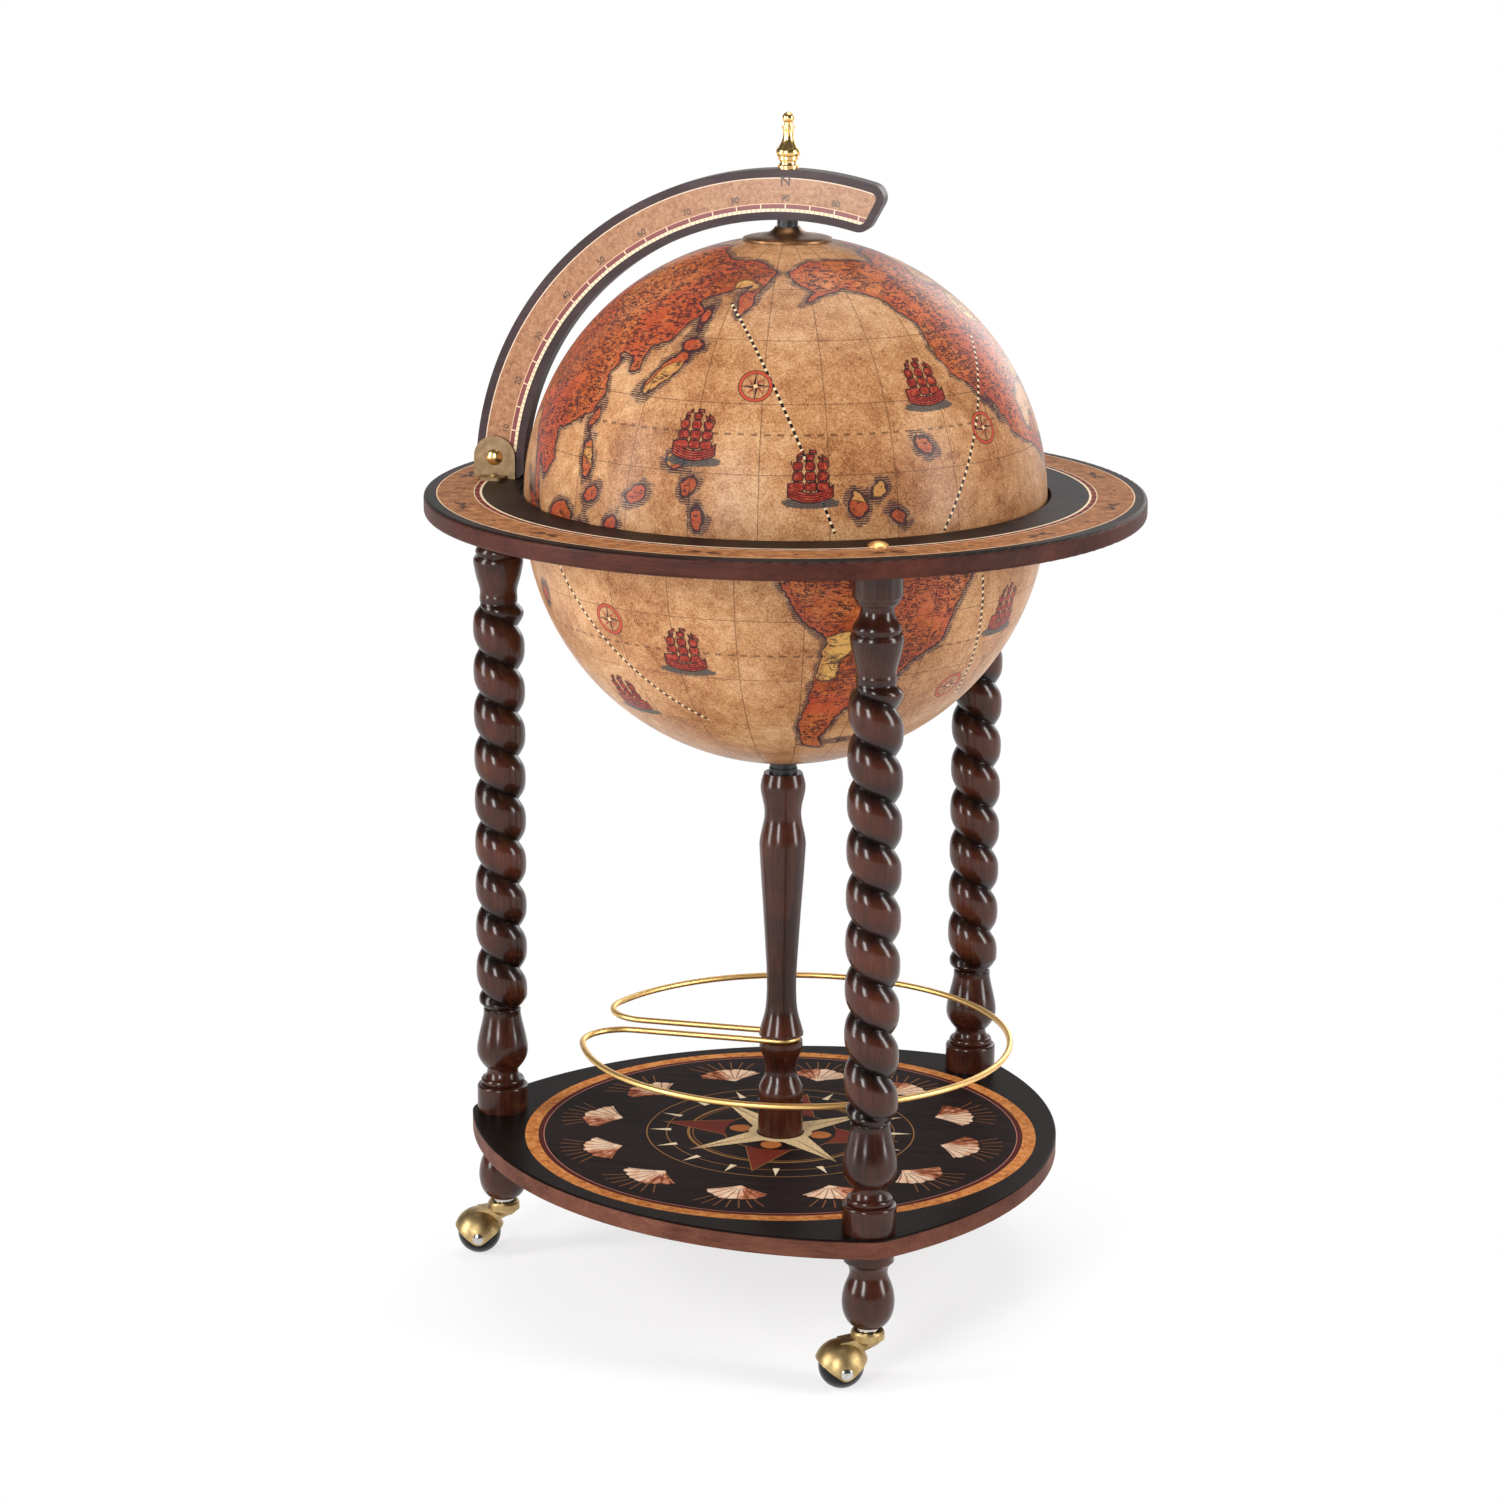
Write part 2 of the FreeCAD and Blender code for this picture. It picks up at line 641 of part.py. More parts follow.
def bottle_rail():
    """One brass wire: a wide loop round the shelf whose two ends run in and wrap the column."""
    z = SHELF_Z + RAIL_H
    side = RAIL_WRAP_R + RAIL_CORNER_R
    reach = RAIL_LOOP_R - RAIL_CORNER_R
    corner_x = RAIL_SHIFT_X - math.sqrt(reach * reach - side * side)
    out = V(corner_x - RAIL_SHIFT_X, -side, 0)
    out.normalize()
    meet = V(RAIL_SHIFT_X, 0, z) + out * RAIL_LOOP_R
    turn = out + V(0, 1, 0)
    turn.normalize()
    elbow = V(corner_x, -side, z) + turn * RAIL_CORNER_R
    mirror = [V(spot.x, -spot.y, z) for spot in (meet, elbow)]
    run_end = V(corner_x, -RAIL_WRAP_R, z)
    run_back = V(corner_x, RAIL_WRAP_R, z)
    path = [
        Part.Arc(V(0, RAIL_WRAP_R, z), V(RAIL_WRAP_R, 0, z), V(0, -RAIL_WRAP_R, z)).toShape(),
        Part.makeLine(V(0, -RAIL_WRAP_R, z), run_end),
        Part.Arc(run_end, elbow, meet).toShape(),
        Part.Arc(meet, V(RAIL_SHIFT_X + RAIL_LOOP_R, 0, z), mirror[0]).toShape(),
        Part.Arc(mirror[0], mirror[1], run_back).toShape(),
        Part.makeLine(run_back, V(0, RAIL_WRAP_R, z)),
    ]
    section = Part.Wire(Part.makeCircle(RAIL_WIRE_R, V(0, RAIL_WRAP_R, z), V(1, 0, 0)))
    return Part.Wire(path).makePipeShell([section], True, False)


# Bowl and the bar insert in it
def bowl_shell():
    flat = GLOBE_Z - GLOBE_R + POLE_FLAT
    flat_r = sphere_r(GLOBE_R, GLOBE_R - POLE_FLAT)
    hole = SPINDLE_R + SPINDLE_CLEAR
    hub_edge = GLOBE_Z - sphere_r(SHELL_IN_R, HUB_R)
    floor_z = GLOBE_Z - FLOOR_DEPTH - TRAY_T
    floor_r = sphere_r(SHELL_IN_R, FLOOR_DEPTH + TRAY_T)
    cleat_low = GLOBE_Z - sphere_r(SHELL_IN_R, floor_r - CLEAT_W)
    tray_z = GLOBE_Z - TRAY_DEPTH - TRAY_T
    tray_r = sphere_r(SHELL_IN_R, TRAY_DEPTH + TRAY_T)
    cleat_high = GLOBE_Z - sphere_r(SHELL_IN_R, tray_r - CLEAT_W)
    rim = (SHELL_IN_R, GLOBE_Z)
    floor_lip = (floor_r - CLEAT_W, cleat_low)
    tray_lip = (tray_r - CLEAT_W, cleat_high)
    return spin_outline([
        (hole, flat),
        sphere_arc((flat_r, flat), (GLOBE_R, GLOBE_Z), GLOBE_R, GLOBE_Z),
        (GLOBE_R, GLOBE_Z),
        sphere_arc(rim, (tray_r, tray_z), SHELL_IN_R, GLOBE_Z),
        (tray_r, tray_z),
        (tray_r - CLEAT_W, tray_z),
        sphere_arc(tray_lip, (floor_r, floor_z), SHELL_IN_R, GLOBE_Z),
        (floor_r, floor_z),
        (floor_r - CLEAT_W, floor_z),
        sphere_arc(floor_lip, (HUB_R, hub_edge), SHELL_IN_R, GLOBE_Z),
        (HUB_R, hub_edge),
        (HUB_R, hub_top()),
        (hole, hub_top()),
    ])


def bowl_collar():
    lip = COLLAR_TOP - 2.2
    body = turned([
        [(COLLAR_BOTTOM, COLLAR_R - COLLAR_LIP), (lip, COLLAR_R - COLLAR_LIP)],
        [(lip, COLLAR_R - COLLAR_LIP), (COLLAR_TOP - 0.8, COLLAR_R), (COLLAR_TOP, COLLAR_R)],
    ])
    return body.cut(disc(SPINDLE_R + RUN_FIT, COLLAR_BOTTOM - 1, COLLAR_TOP + 1))


def glass_spots():
    """Places of the glass cups: as far out as the bowl lets their lower ends go."""
    radius = sphere_r(SHELL_IN_R, TRAY_DEPTH + CUP_DEPTH) - GLASS_HOLE_R - GLASS_EDGE
    return [on_circle(index, GLASS_COUNT, radius, 180.0 / GLASS_COUNT) for index in range(GLASS_COUNT)]


def bar_tray():
    low = GLOBE_Z - TRAY_DEPTH - TRAY_T
    tray = disc(sphere_r(SHELL_IN_R, TRAY_DEPTH + TRAY_T) - FACE_GAP, low, low + TRAY_T)
    for index in range(BOTTLE_COUNT):
        x, y = on_circle(index, BOTTLE_COUNT, BOTTLE_CIRCLE_R)
        tray = tray.cut(disc(BOTTLE_HOLE_R, low - 1, low + TRAY_T + 1, x, y))
    for x, y in glass_spots():
        tray = tray.cut(disc(GLASS_HOLE_R, low - 1, low + TRAY_T + 1, x, y))
    return tray


def bottle_floor():
    low = GLOBE_Z - FLOOR_DEPTH - TRAY_T
    return disc(sphere_r(SHELL_IN_R, FLOOR_DEPTH + TRAY_T) - FACE_GAP, low, low + TRAY_T)


def glass_cups():
    top = GLOBE_Z - TRAY_DEPTH
    outer = GLASS_HOLE_R - FACE_GAP
    cups = []
    for x, y in glass_spots():
        cup = disc(outer, top - CUP_DEPTH, top, x, y)
        cup = cup.fuse(disc(GLASS_HOLE_R + CUP_FLANGE, top, top + CUP_WALL, x, y))
        cup = cup.cut(disc(outer - CUP_WALL, top - CUP_DEPTH + CUP_WALL, top + CUP_WALL + 1, x, y))
        cups.append(cup.removeSplitter())
    return group(cups)


# Lid: the upper half of the globe and its pole fittings
def dome_pad_z():
    return LID_Z + SHELL_IN_R - DOME_PAD_DROP


def dome_shell():
    flat_r = sphere_r(GLOBE_R, GLOBE_R - POLE_FLAT)
    hole = BUSHING_R + RUN_FIT
    pad_edge = (DOME_PAD_R, LID_Z + sphere_r(SHELL_IN_R, DOME_PAD_R))
    return spin_outline([
        (SHELL_IN_R, LID_Z),
        sphere_arc((GLOBE_R, LID_Z), (flat_r, POLE_TOP), GLOBE_R, LID_Z),
        (flat_r, POLE_TOP),
        (hole, POLE_TOP),
        (hole, dome_pad_z()),
        (DOME_PAD_R, dome_pad_z()),
        sphere_arc(pad_edge, (SHELL_IN_R, LID_Z), SHELL_IN_R, LID_Z),
    ])


def dome_hoop():
    outer = SHELL_IN_R - GLUE_LINE
    top = sphere_r(outer, HOOP_H)
    inner = outer - HOOP_W
    return spin_outline([
        (inner, LID_Z),
        sphere_arc((outer, LID_Z), (top, LID_Z + HOOP_H), outer, LID_Z),
        (top, LID_Z + HOOP_H),
        (inner, LID_Z + HOOP_H),
    ])


def pole_cap():
    """A spun bronze dish that sits on the flat at the pole and hangs its rim just off the dome."""
    hover = GLOBE_R + FACE_GAP
    hole = BUSHING_R + RUN_FIT
    rim = V(CAP_R, 0, LID_Z + sphere_r(hover, CAP_R))
    lip = V(CAP_R, 0, rim.z + CAP_LIP)
    seat = V(CAP_SEAT_R, 0, LID_Z + sphere_r(hover, CAP_SEAT_R))
    middle = sphere_arc((rim.x, rim.z), (seat.x, seat.z), hover, LID_Z)
    face = Part.Face(Part.Wire([
        Part.makeLine(V(hole, 0, POLE_TOP), V(hole, 0, CAP_TOP)),
        Part.makeLine(V(hole, 0, CAP_TOP), V(CAP_TOP_R, 0, CAP_TOP)),
        stretch_edge([(CAP_TOP, CAP_TOP_R), (POLE_TOP + CAP_H / 2, CAP_TOP_R + CAP_R / 8),
                      (POLE_TOP + CAP_H / 5, CAP_R * 0.7), (lip.z, CAP_R)]),
        Part.makeLine(lip, rim),
        Part.Arc(rim, V(middle[2], 0, middle[3]), seat).toShape(),
        Part.makeLine(seat, V(CAP_SEAT_R, 0, POLE_TOP)),
        Part.makeLine(V(CAP_SEAT_R, 0, POLE_TOP), V(hole, 0, POLE_TOP)),
    ]))
    return face.revolve(V(0, 0, 0), UP, 360)


def pole_bushing():
    flange = disc(BUSHING_FLANGE_R, dome_pad_z() - BUSHING_FLANGE_T, dome_pad_z())
    sleeve = disc(BUSHING_R, dome_pad_z() - 0.5, CAP_TOP - SPOT)
    bore = disc(PIN_R + RUN_FIT, dome_pad_z() - BUSHING_FLANGE_T - 1, CAP_TOP + 1)
    return flange.fuse(sleeve).cut(bore).removeSplitter()


def pole_spacer():
    return tube(SPACER_R, PIN_R + RUN_FIT, CAP_TOP + FACE_GAP, ARC_POLE_IN)


def pole_nut():
    high = dome_pad_z() - BUSHING_FLANGE_T - FACE_GAP
    corners = [polar(POLE_NUT_R, 60.0 * index, high - POLE_NUT_H) for index in range(7)]
    nut = Part.Face(Part.makePolygon(corners)).extrude(V(0, 0, POLE_NUT_H))
    return nut.cut(disc(PIN_R + RUN_FIT, high - POLE_NUT_H - 1, high + 1))


def pole_pin():
    low = dome_pad_z() - BUSHING_FLANGE_T - FACE_GAP - POLE_NUT_H - 2 * BLIND_PLAY
    return disc(PIN_R, low, ARC_POLE_OUT + PIN_IN_FINIAL)


def finial():
    base = ARC_POLE_OUT
    ball_z = base + FINIAL_H - FINIAL_BALL_R
    neck = base + 0.82 * FINIAL_H
    body = turned([
        spread([(0, 1), (0.075, 1)], base, neck, FINIAL_BASE_R),
        spread([(0.075, 0.875), (0.145, 0.79), (0.2, 0.85)], base, neck, FINIAL_BASE_R),
        spread([(0.2, 0.975), (0.275, 0.975)], base, neck, FINIAL_BASE_R),
        spread([(0.275, 1.05), (0.36, 1.15), (0.445, 1.025)], base, neck, FINIAL_BASE_R),
        spread([(0.445, 0.95), (0.52, 0.775), (0.62, 0.575), (0.75, 0.49), (0.86, 0.525)], base, neck,
               FINIAL_BASE_R),
        spread([(0.86, 0.61), (0.925, 0.61)], base, neck, FINIAL_BASE_R),
        spread([(0.925, 0.4), (1, 0.4)], base, neck, FINIAL_BASE_R),
    ])
    body = body.fuse(Part.makeSphere(FINIAL_BALL_R, V(0, 0, ball_z)))
    return body.cut(disc(PIN_R + RUN_FIT, base - 1, base + PIN_IN_FINIAL + 0.5)).removeSplitter()


# Meridian arc and its hinge
def arc_point(radius, degrees):
    """A point of the arc, by its angle up from the hinge side, in the XZ plane."""
    angle = math.radians(degrees)
    return V(-radius * math.cos(angle), 0, RING_TOP + radius * math.sin(angle))


def arc_end_x(radius):
    """Where the slanted end of the arc cuts a circle of this radius."""
    middle = (ARC_IN_R + ARC_OUT_R) / 2
    return ARC_END_X + (radius - middle) * math.tan(math.radians(ARC_END_SLOPE)) - ARC_END_ROUND / 2


def end_degrees(radius):
    return 90.0 + math.degrees(math.asin(arc_end_x(radius) / radius))


def arc_face(inner, outer, start, end_shift):
    """A band of the arc between two radii, from a starting angle to the slanted end."""
    stop_in = end_degrees(inner) - end_shift
    stop_out = end_degrees(outer) - end_shift
    edges = [
        Part.Arc(arc_point(outer, start), arc_point(outer, 60), arc_point(outer, stop_out)).toShape(),
        Part.makeLine(arc_point(outer, stop_out), arc_point(inner, stop_in)),
        Part.Arc(arc_point(inner, stop_in), arc_point(inner, 60), arc_point(inner, start)).toShape(),
        Part.makeLine(arc_point(inner, start), arc_point(outer, start)),
    ]
    return Part.Face(Part.Wire(edges))


def slab(face, low, high):
    """A face in the XZ plane made solid between two values of y."""
    piece = face.extrude(V(0, high - low, 0))
    piece.translate(V(0, low, 0))
    return piece


def rounded_end(piece, radius):
    """The same piece with the two corners of its slanted end rounded."""
    corners = [edge for edge in piece.Edges
               if edge.BoundBox.XMin > 0 and edge.BoundBox.XLength < 1e-6 and edge.BoundBox.ZLength < 1e-6]
    return piece.makeFillet(radius, corners)


def pivot_degrees(radius):
    """Where a circle of the arc passes the height of the pivot."""
    return math.degrees(math.asin((PIVOT_Z - RING_TOP) / radius))


def heel():
    """The lower end of the arc: rounded about the pivot outside, flat over the ring inside."""
    low = RING_TOP + HEEL_GAP
    outer_x = arc_point(ARC_OUT_R, pivot_degrees(ARC_OUT_R)).x
    inner_x = arc_point(ARC_IN_R, pivot_degrees(ARC_IN_R)).x
    dip = sphere_r(HEEL_R, outer_x - PIVOT_X)
    half = math.radians(225.0 + (math.degrees(math.atan2(-dip, outer_x - PIVOT_X)) + 135.0) / 2)
    edges = [
        Part.makeLine(V(outer_x, 0, PIVOT_Z), V(outer_x, 0, PIVOT_Z - dip)),
        Part.Arc(V(outer_x, 0, PIVOT_Z - dip),
                 V(PIVOT_X + HEEL_R * math.cos(half), 0, PIVOT_Z + HEEL_R * math.sin(half)),
                 V(PIVOT_X, 0, low)).toShape(),
        Part.makeLine(V(PIVOT_X, 0, low), V(inner_x - HEEL_BEVEL, 0, low)),
        Part.makeLine(V(inner_x - HEEL_BEVEL, 0, low), V(inner_x, 0, low + HEEL_BEVEL)),
        Part.makeLine(V(inner_x, 0, low + HEEL_BEVEL), V(inner_x, 0, PIVOT_Z)),
        Part.makeLine(V(inner_x, 0, PIVOT_Z), V(outer_x, 0, PIVOT_Z)),
    ]
    return slab(Part.Face(Part.Wire(edges)), -ARC_HALF, ARC_HALF)


def print_band(low, high, play):
    """The printed band let into a face of the arc, from just above the hinge bolt's bore."""
    rise = PIVOT_Z - RING_TOP
    bare = (HINGE_BOLT_R + ARC_PRINT_MARGIN + play) / math.hypot(PIVOT_X, rise)
    start = math.degrees(math.atan2(rise, -PIVOT_X) + bare)
    border = ARC_BORDER + play
    shift = math.degrees(border / ARC_OUT_R)
    face = arc_face(ARC_IN_R + border, ARC_OUT_R - border, start, shift)
    return rounded_end(slab(face, low, high), ARC_END_ROUND - ARC_BORDER)


def meridian_arc():
    band = arc_face(ARC_IN_R, ARC_OUT_R, pivot_degrees(ARC_OUT_R), 0)
    strip = rounded_end(slab(band, -ARC_HALF, ARC_HALF), ARC_END_ROUND)
    arc = strip.fuse(heel()).removeSplitter()
    arc = arc.cut(print_band(-ARC_HALF - 1, -ARC_HALF + PRINT_T, 0))
    arc = arc.cut(print_band(ARC_HALF - PRINT_T, ARC_HALF + 1, 0))
    arc = arc.cut(rod(HINGE_BOLT_R + RUN_FIT, V(PIVOT_X, -ARC_T, PIVOT_Z), V(PIVOT_X, ARC_T, PIVOT_Z)))
    arc = arc.cut(disc(PIN_R + RUN_FIT, ARC_POLE_IN - 5, ARC_POLE_OUT + 5))
    arc = arc.cut(disc(SPACER_R + BOLT_PLAY, ARC_POLE_IN - 2, ARC_POLE_IN))
    return arc.cut(disc(FINIAL_BASE_R + BOLT_PLAY, ARC_POLE_OUT, ARC_POLE_OUT + 2))


def hinge_cheek(side):
    """An arch-topped plate with an outward foot; side is -1 in front of the arc and +1 behind it."""
    inside = side * (ARC_HALF + FACE_GAP)
    outside = side * (ARC_HALF + FACE_GAP + CHEEK_T)
    half = CHEEK_W / 2
    left = PIVOT_X - half
    right = PIVOT_X + half
    edges = [
        Part.makeLine(V(left, 0, RING_TOP), V(right, 0, RING_TOP)),
        Part.makeLine(V(right, 0, RING_TOP), V(right, 0, PIVOT_Z)),
        Part.Arc(V(right, 0, PIVOT_Z), V(PIVOT_X, 0, PIVOT_Z + half), V(left, 0, PIVOT_Z)).toShape(),
        Part.makeLine(V(left, 0, PIVOT_Z), V(left, 0, RING_TOP)),
    ]
    plate = slab(Part.Face(Part.Wire(edges)), min(inside, outside), max(inside, outside))
    depth = CHEEK_T + TAB_REACH
    corner = V(PIVOT_X - TAB_W / 2, min(inside, inside + side * depth), RING_TOP)
    tab = Part.makeBox(TAB_W, depth, CHEEK_T, corner)
    corners = [edge for edge in tab.Edges if edge.BoundBox.ZLength > CHEEK_T / 2
               and abs(edge.BoundBox.YMin - inside) > depth / 2]
    tab = tab.makeFillet(TAB_W / 4, corners)
    spot = screw_spots()[0 if side < 0 else 1]
    cheek = plate.fuse(tab)
    cheek = cheek.cut(disc(SCREW_R + BOLT_PLAY, RING_TOP - 1, RING_TOP + CHEEK_T + 1, spot.x, spot.y))
    bore = rod(HINGE_BOLT_R + RUN_FIT, V(PIVOT_X, -2 * ARC_T, PIVOT_Z), V(PIVOT_X, 2 * ARC_T, PIVOT_Z))
    return cheek.cut(bore).removeSplitter()


def along_y(piece, y):
    """A piece turned about Z, laid along -Y with its height 0 at this y on the hinge axis."""
    piece.rotate(V(0, 0, 0), V(1, 0, 0), 90)
    piece.translate(V(PIVOT_X, y, PIVOT_Z))
    return piece


def hinge_bolt():
    outside = ARC_HALF + FACE_GAP + CHEEK_T
    tip = outside + HINGE_NUT_T - BLIND_PLAY
    shank = rod(HINGE_BOLT_R, V(PIVOT_X, -outside - 1, PIVOT_Z), V(PIVOT_X, tip, PIVOT_Z))
    head = button(HINGE_HEAD_R, HINGE_HEAD_RIM, HINGE_HEAD_H)
    return shank.fuse(along_y(head, -outside)).removeSplitter()


def hinge_nut():
    outside = ARC_HALF + FACE_GAP + CHEEK_T
    nut = rod(HINGE_HEAD_R, V(PIVOT_X, outside, PIVOT_Z), V(PIVOT_X, outside + HINGE_NUT_T, PIVOT_Z))
    bore_end = outside + HINGE_NUT_T - BLIND_PLAY + RUN_FIT
    bore = rod(HINGE_BOLT_R + RUN_FIT, V(PIVOT_X, 0, PIVOT_Z), V(PIVOT_X, bore_end, PIVOT_Z))
    return nut.cut(bore)


def hinge_screws():
    screws = []
    base = RING_TOP + CHEEK_T
    half = SCREW_SLOT / 2
    for spot in screw_spots():
        head = button(SCREW_HEAD_R, SCREW_SLOT / 2, SCREW_HEAD_H)
        corner = V(-SCREW_HEAD_R, -half, SCREW_HEAD_H - SCREW_SLOT)
        head = head.cut(Part.makeBox(2 * SCREW_HEAD_R, SCREW_SLOT, SCREW_HEAD_H, corner))
        head.translate(V(spot.x, spot.y, base))
        shank = disc(SCREW_R, RING_TOP - SCREW_L, base + half, spot.x, spot.y)
        screws.append(head.fuse(shank).removeSplitter())
    return group(screws)


# Ball casters
def caster_hood():
    """Swivel cup, arm and hood, with the swivel axis at the origin and the wheel behind along +X."""
    centre = V(CASTER_TRAIL, 0, WHEEL_R)
    rim = WHEEL_R + HOOD_RIM_H
    reach = HOOD_OUT_R + 1
    side = math.hypot(reach, HOOD_RIM_H)
    tangent = math.atan2(HOOD_RIM_H, reach) - math.acos(EAR_R / side)
    touch = V(CASTER_TRAIL + EAR_R * math.cos(tangent), 0, WHEEL_R + EAR_R * math.sin(tangent))
    mirror = V(2 * CASTER_TRAIL - touch.x, 0, touch.z)
    top = WHEEL_R + reach
    outline = [
        Part.makeLine(V(CASTER_TRAIL + reach, 0, rim), touch),
        Part.Arc(touch, V(CASTER_TRAIL, 0, WHEEL_R - EAR_R), mirror).toShape(),
        Part.makeLine(mirror, V(CASTER_TRAIL - reach, 0, rim)),
        Part.makeLine(V(CASTER_TRAIL - reach, 0, rim), V(CASTER_TRAIL - reach, 0, top)),
        Part.makeLine(V(CASTER_TRAIL - reach, 0, top), V(CASTER_TRAIL + reach, 0, top)),
        Part.makeLine(V(CASTER_TRAIL + reach, 0, top), V(CASTER_TRAIL + reach, 0, rim)),
    ]
    facet = HOOD_OUT_R - HOOD_FACET
    cover = slab(Part.Face(Part.Wire(outline)), -facet, facet)
    hood = Part.makeSphere(HOOD_OUT_R, centre).common(cover)
    high = CASTER_H - SOCKET_FLANGE_T - FACE_GAP
    low = high - SWIVEL_H
    lip = high + SWIVEL_LIP
    cup = turned([
        [(low, SWIVEL_R - 4.2), (low + 4.0, SWIVEL_R - 0.6)],
        [(low + 4.0, SWIVEL_R), (lip - 1.5, SWIVEL_R)],
        [(lip - 1.5, SWIVEL_R), (lip, SWIVEL_R - 1.0)],
    ])
    cup = cup.cut(disc(SWIVEL_R - SWIVEL_LIP_W, high, lip + 1))
    strap = Part.makePolygon([
        V(-SWIVEL_R * 0.4, 0, low + 0.5),
        V(-SWIVEL_R * 0.4, 0, high - 1.0),
        centre + V(0.1, 0, 0.97) * HOOD_OUT_R,
        centre,
        centre + V(-0.75, 0, 0.6) * HOOD_OUT_R,
        V(-SWIVEL_R * 0.4, 0, low + 0.5),
    ])
    arm = slab(Part.Face(strap), -ARM_W / 2, ARM_W / 2)
    body = cup.fuse([arm, hood])
    body = body.cut(Part.makeSphere(HOOD_IN_R, centre))
    body = body.cut(rod(AXLE_R + RUN_FIT, centre - V(0, 2 * HOOD_OUT_R, 0), centre + V(0, 2 * HOOD_OUT_R, 0)))
    return body.cut(disc(STEM_R + RUN_FIT, low + 2.0, high + 1)).removeSplitter()


def caster_stem():
    high = CASTER_H - SOCKET_FLANGE_T - FACE_GAP
    return disc(STEM_R, high - SWIVEL_H + 2.0, CASTER_H + SOCKET_L - 2 * BLIND_PLAY)


def caster_wheel():
    centre = V(CASTER_TRAIL, 0, WHEEL_R)
    corner = centre - V(2 * WHEEL_R, WHEEL_HALF_W, 2 * WHEEL_R)
    keep = Part.makeBox(4 * WHEEL_R, 2 * WHEEL_HALF_W, 4 * WHEEL_R, corner)
    ball = Part.makeSphere(WHEEL_R, centre, V(0, 1, 0)).common(keep)
    return ball.cut(rod(AXLE_R + RUN_FIT, centre - V(0, WHEEL_R, 0), centre + V(0, WHEEL_R, 0)))


def caster_axle():
    centre = V(CASTER_TRAIL, 0, WHEEL_R)
    facet = HOOD_OUT_R - HOOD_FACET
    axle = rod(AXLE_R, centre - V(0, facet + 0.5, 0), centre + V(0, facet + 0.5, 0))
    for side in (90, -90):
        head = button(RIVET_R, RIVET_H / 3, RIVET_H)
        head.rotate(V(0, 0, 0), V(1, 0, 0), side)
        head.translate(centre + V(0, -facet if side > 0 else facet, 0))
        axle = axle.fuse(head)
    return axle.removeSplitter()


def save_casters():
    pieces = {"hood": caster_hood(), "stem": caster_stem(), "wheel": caster_wheel(), "axle": caster_axle()}
    for name, azimuth in LEG_AZIMUTHS.items():
        for kind, pattern in pieces.items():
            piece = pattern.copy()
            piece.rotate(V(0, 0, 0), UP, CASTER_AZIMUTHS[name])
            piece.translate(polar(LEG_CIRCLE_R, azimuth))
            save("caster_" + kind + "_" + name, piece)


os.makedirs("parts", exist_ok=True)
save("base_board", base_board())
save("base_print", base_print())
save_feet()
save_casters()
save_legs()
save("center_column", center_column())
save("column_screw", column_screw())
save("column_bush", column_bush())
save("thrust_washer", thrust_washer())
save("bowl_spindle", bowl_spindle())
save("bowl_nut", bowl_nut())
save("bottle_rail", bottle_rail())
save("horizon_ring", horizon_ring())
save("horizon_print", horizon_print())
save_ring_bolts()
save("bowl_shell", bowl_shell())
save("bowl_collar", bowl_collar())
save("bar_tray", bar_tray())
save("bottle_floor", bottle_floor())
save("glass_cups", glass_cups())
save("dome_shell", dome_shell())
save("dome_hoop", dome_hoop())
save("pole_cap", pole_cap())
save("pole_bushing", pole_bushing())
save("pole_spacer", pole_spacer())
save("pole_nut", pole_nut())
save("pole_pin", pole_pin())
save("finial", finial())
save("meridian_arc", meridian_arc())
save("meridian_print_front", print_band(-ARC_HALF, -ARC_HALF + PRINT_T, RUN_FIT))
save("meridian_print_back", print_band(ARC_HALF - PRINT_T, ARC_HALF, RUN_FIT))
save("hinge_cheek_front", hinge_cheek(-1))
save("hinge_cheek_back", hinge_cheek(1))
save("hinge_bolt", hinge_bolt())
save("hinge_nut", hinge_nut())
save("hinge_screws", hinge_screws())
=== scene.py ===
import math

import bpy
import numpy as np
from mathutils import Matrix, Vector


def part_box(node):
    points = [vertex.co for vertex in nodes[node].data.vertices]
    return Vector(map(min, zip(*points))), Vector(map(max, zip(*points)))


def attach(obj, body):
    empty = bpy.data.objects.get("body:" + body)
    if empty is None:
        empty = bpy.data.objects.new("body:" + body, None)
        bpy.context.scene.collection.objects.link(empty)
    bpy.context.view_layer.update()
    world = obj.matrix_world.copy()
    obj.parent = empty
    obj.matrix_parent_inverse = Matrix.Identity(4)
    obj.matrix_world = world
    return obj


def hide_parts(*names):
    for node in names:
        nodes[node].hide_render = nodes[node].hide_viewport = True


# Floor globe bar. Lengths in the model are metres; the painted patterns count in millimetres.
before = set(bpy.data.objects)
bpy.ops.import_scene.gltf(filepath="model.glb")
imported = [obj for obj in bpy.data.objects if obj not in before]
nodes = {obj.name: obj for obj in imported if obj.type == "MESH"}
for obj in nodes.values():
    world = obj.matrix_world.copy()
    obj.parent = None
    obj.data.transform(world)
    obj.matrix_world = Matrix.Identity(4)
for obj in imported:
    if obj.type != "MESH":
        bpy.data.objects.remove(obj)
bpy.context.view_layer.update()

MM = 0.001
DEGREE = math.pi / 180
GLOBE_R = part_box("bowl_shell")[1].x / MM
BOWL_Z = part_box("bowl_shell")[1].z / MM
LID_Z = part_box("dome_shell")[0].z / MM
RING_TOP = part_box("horizon_print")[1].z / MM
SHELF_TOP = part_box("base_print")[1].z / MM
BASE_PRINT_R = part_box("base_print")[1].x / MM
RING_PRINT_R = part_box("horizon_print")[1].x / MM
ARC_OUT_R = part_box("meridian_arc")[1].z / MM - RING_TOP
# Millimetres: the globe's wall, the arc's width and plain border, and the width of the ring's print
SHELL_T = 4.5
ARC_W = 38.0
ARC_BORDER = 6.2
RING_PRINT_W = 35.0

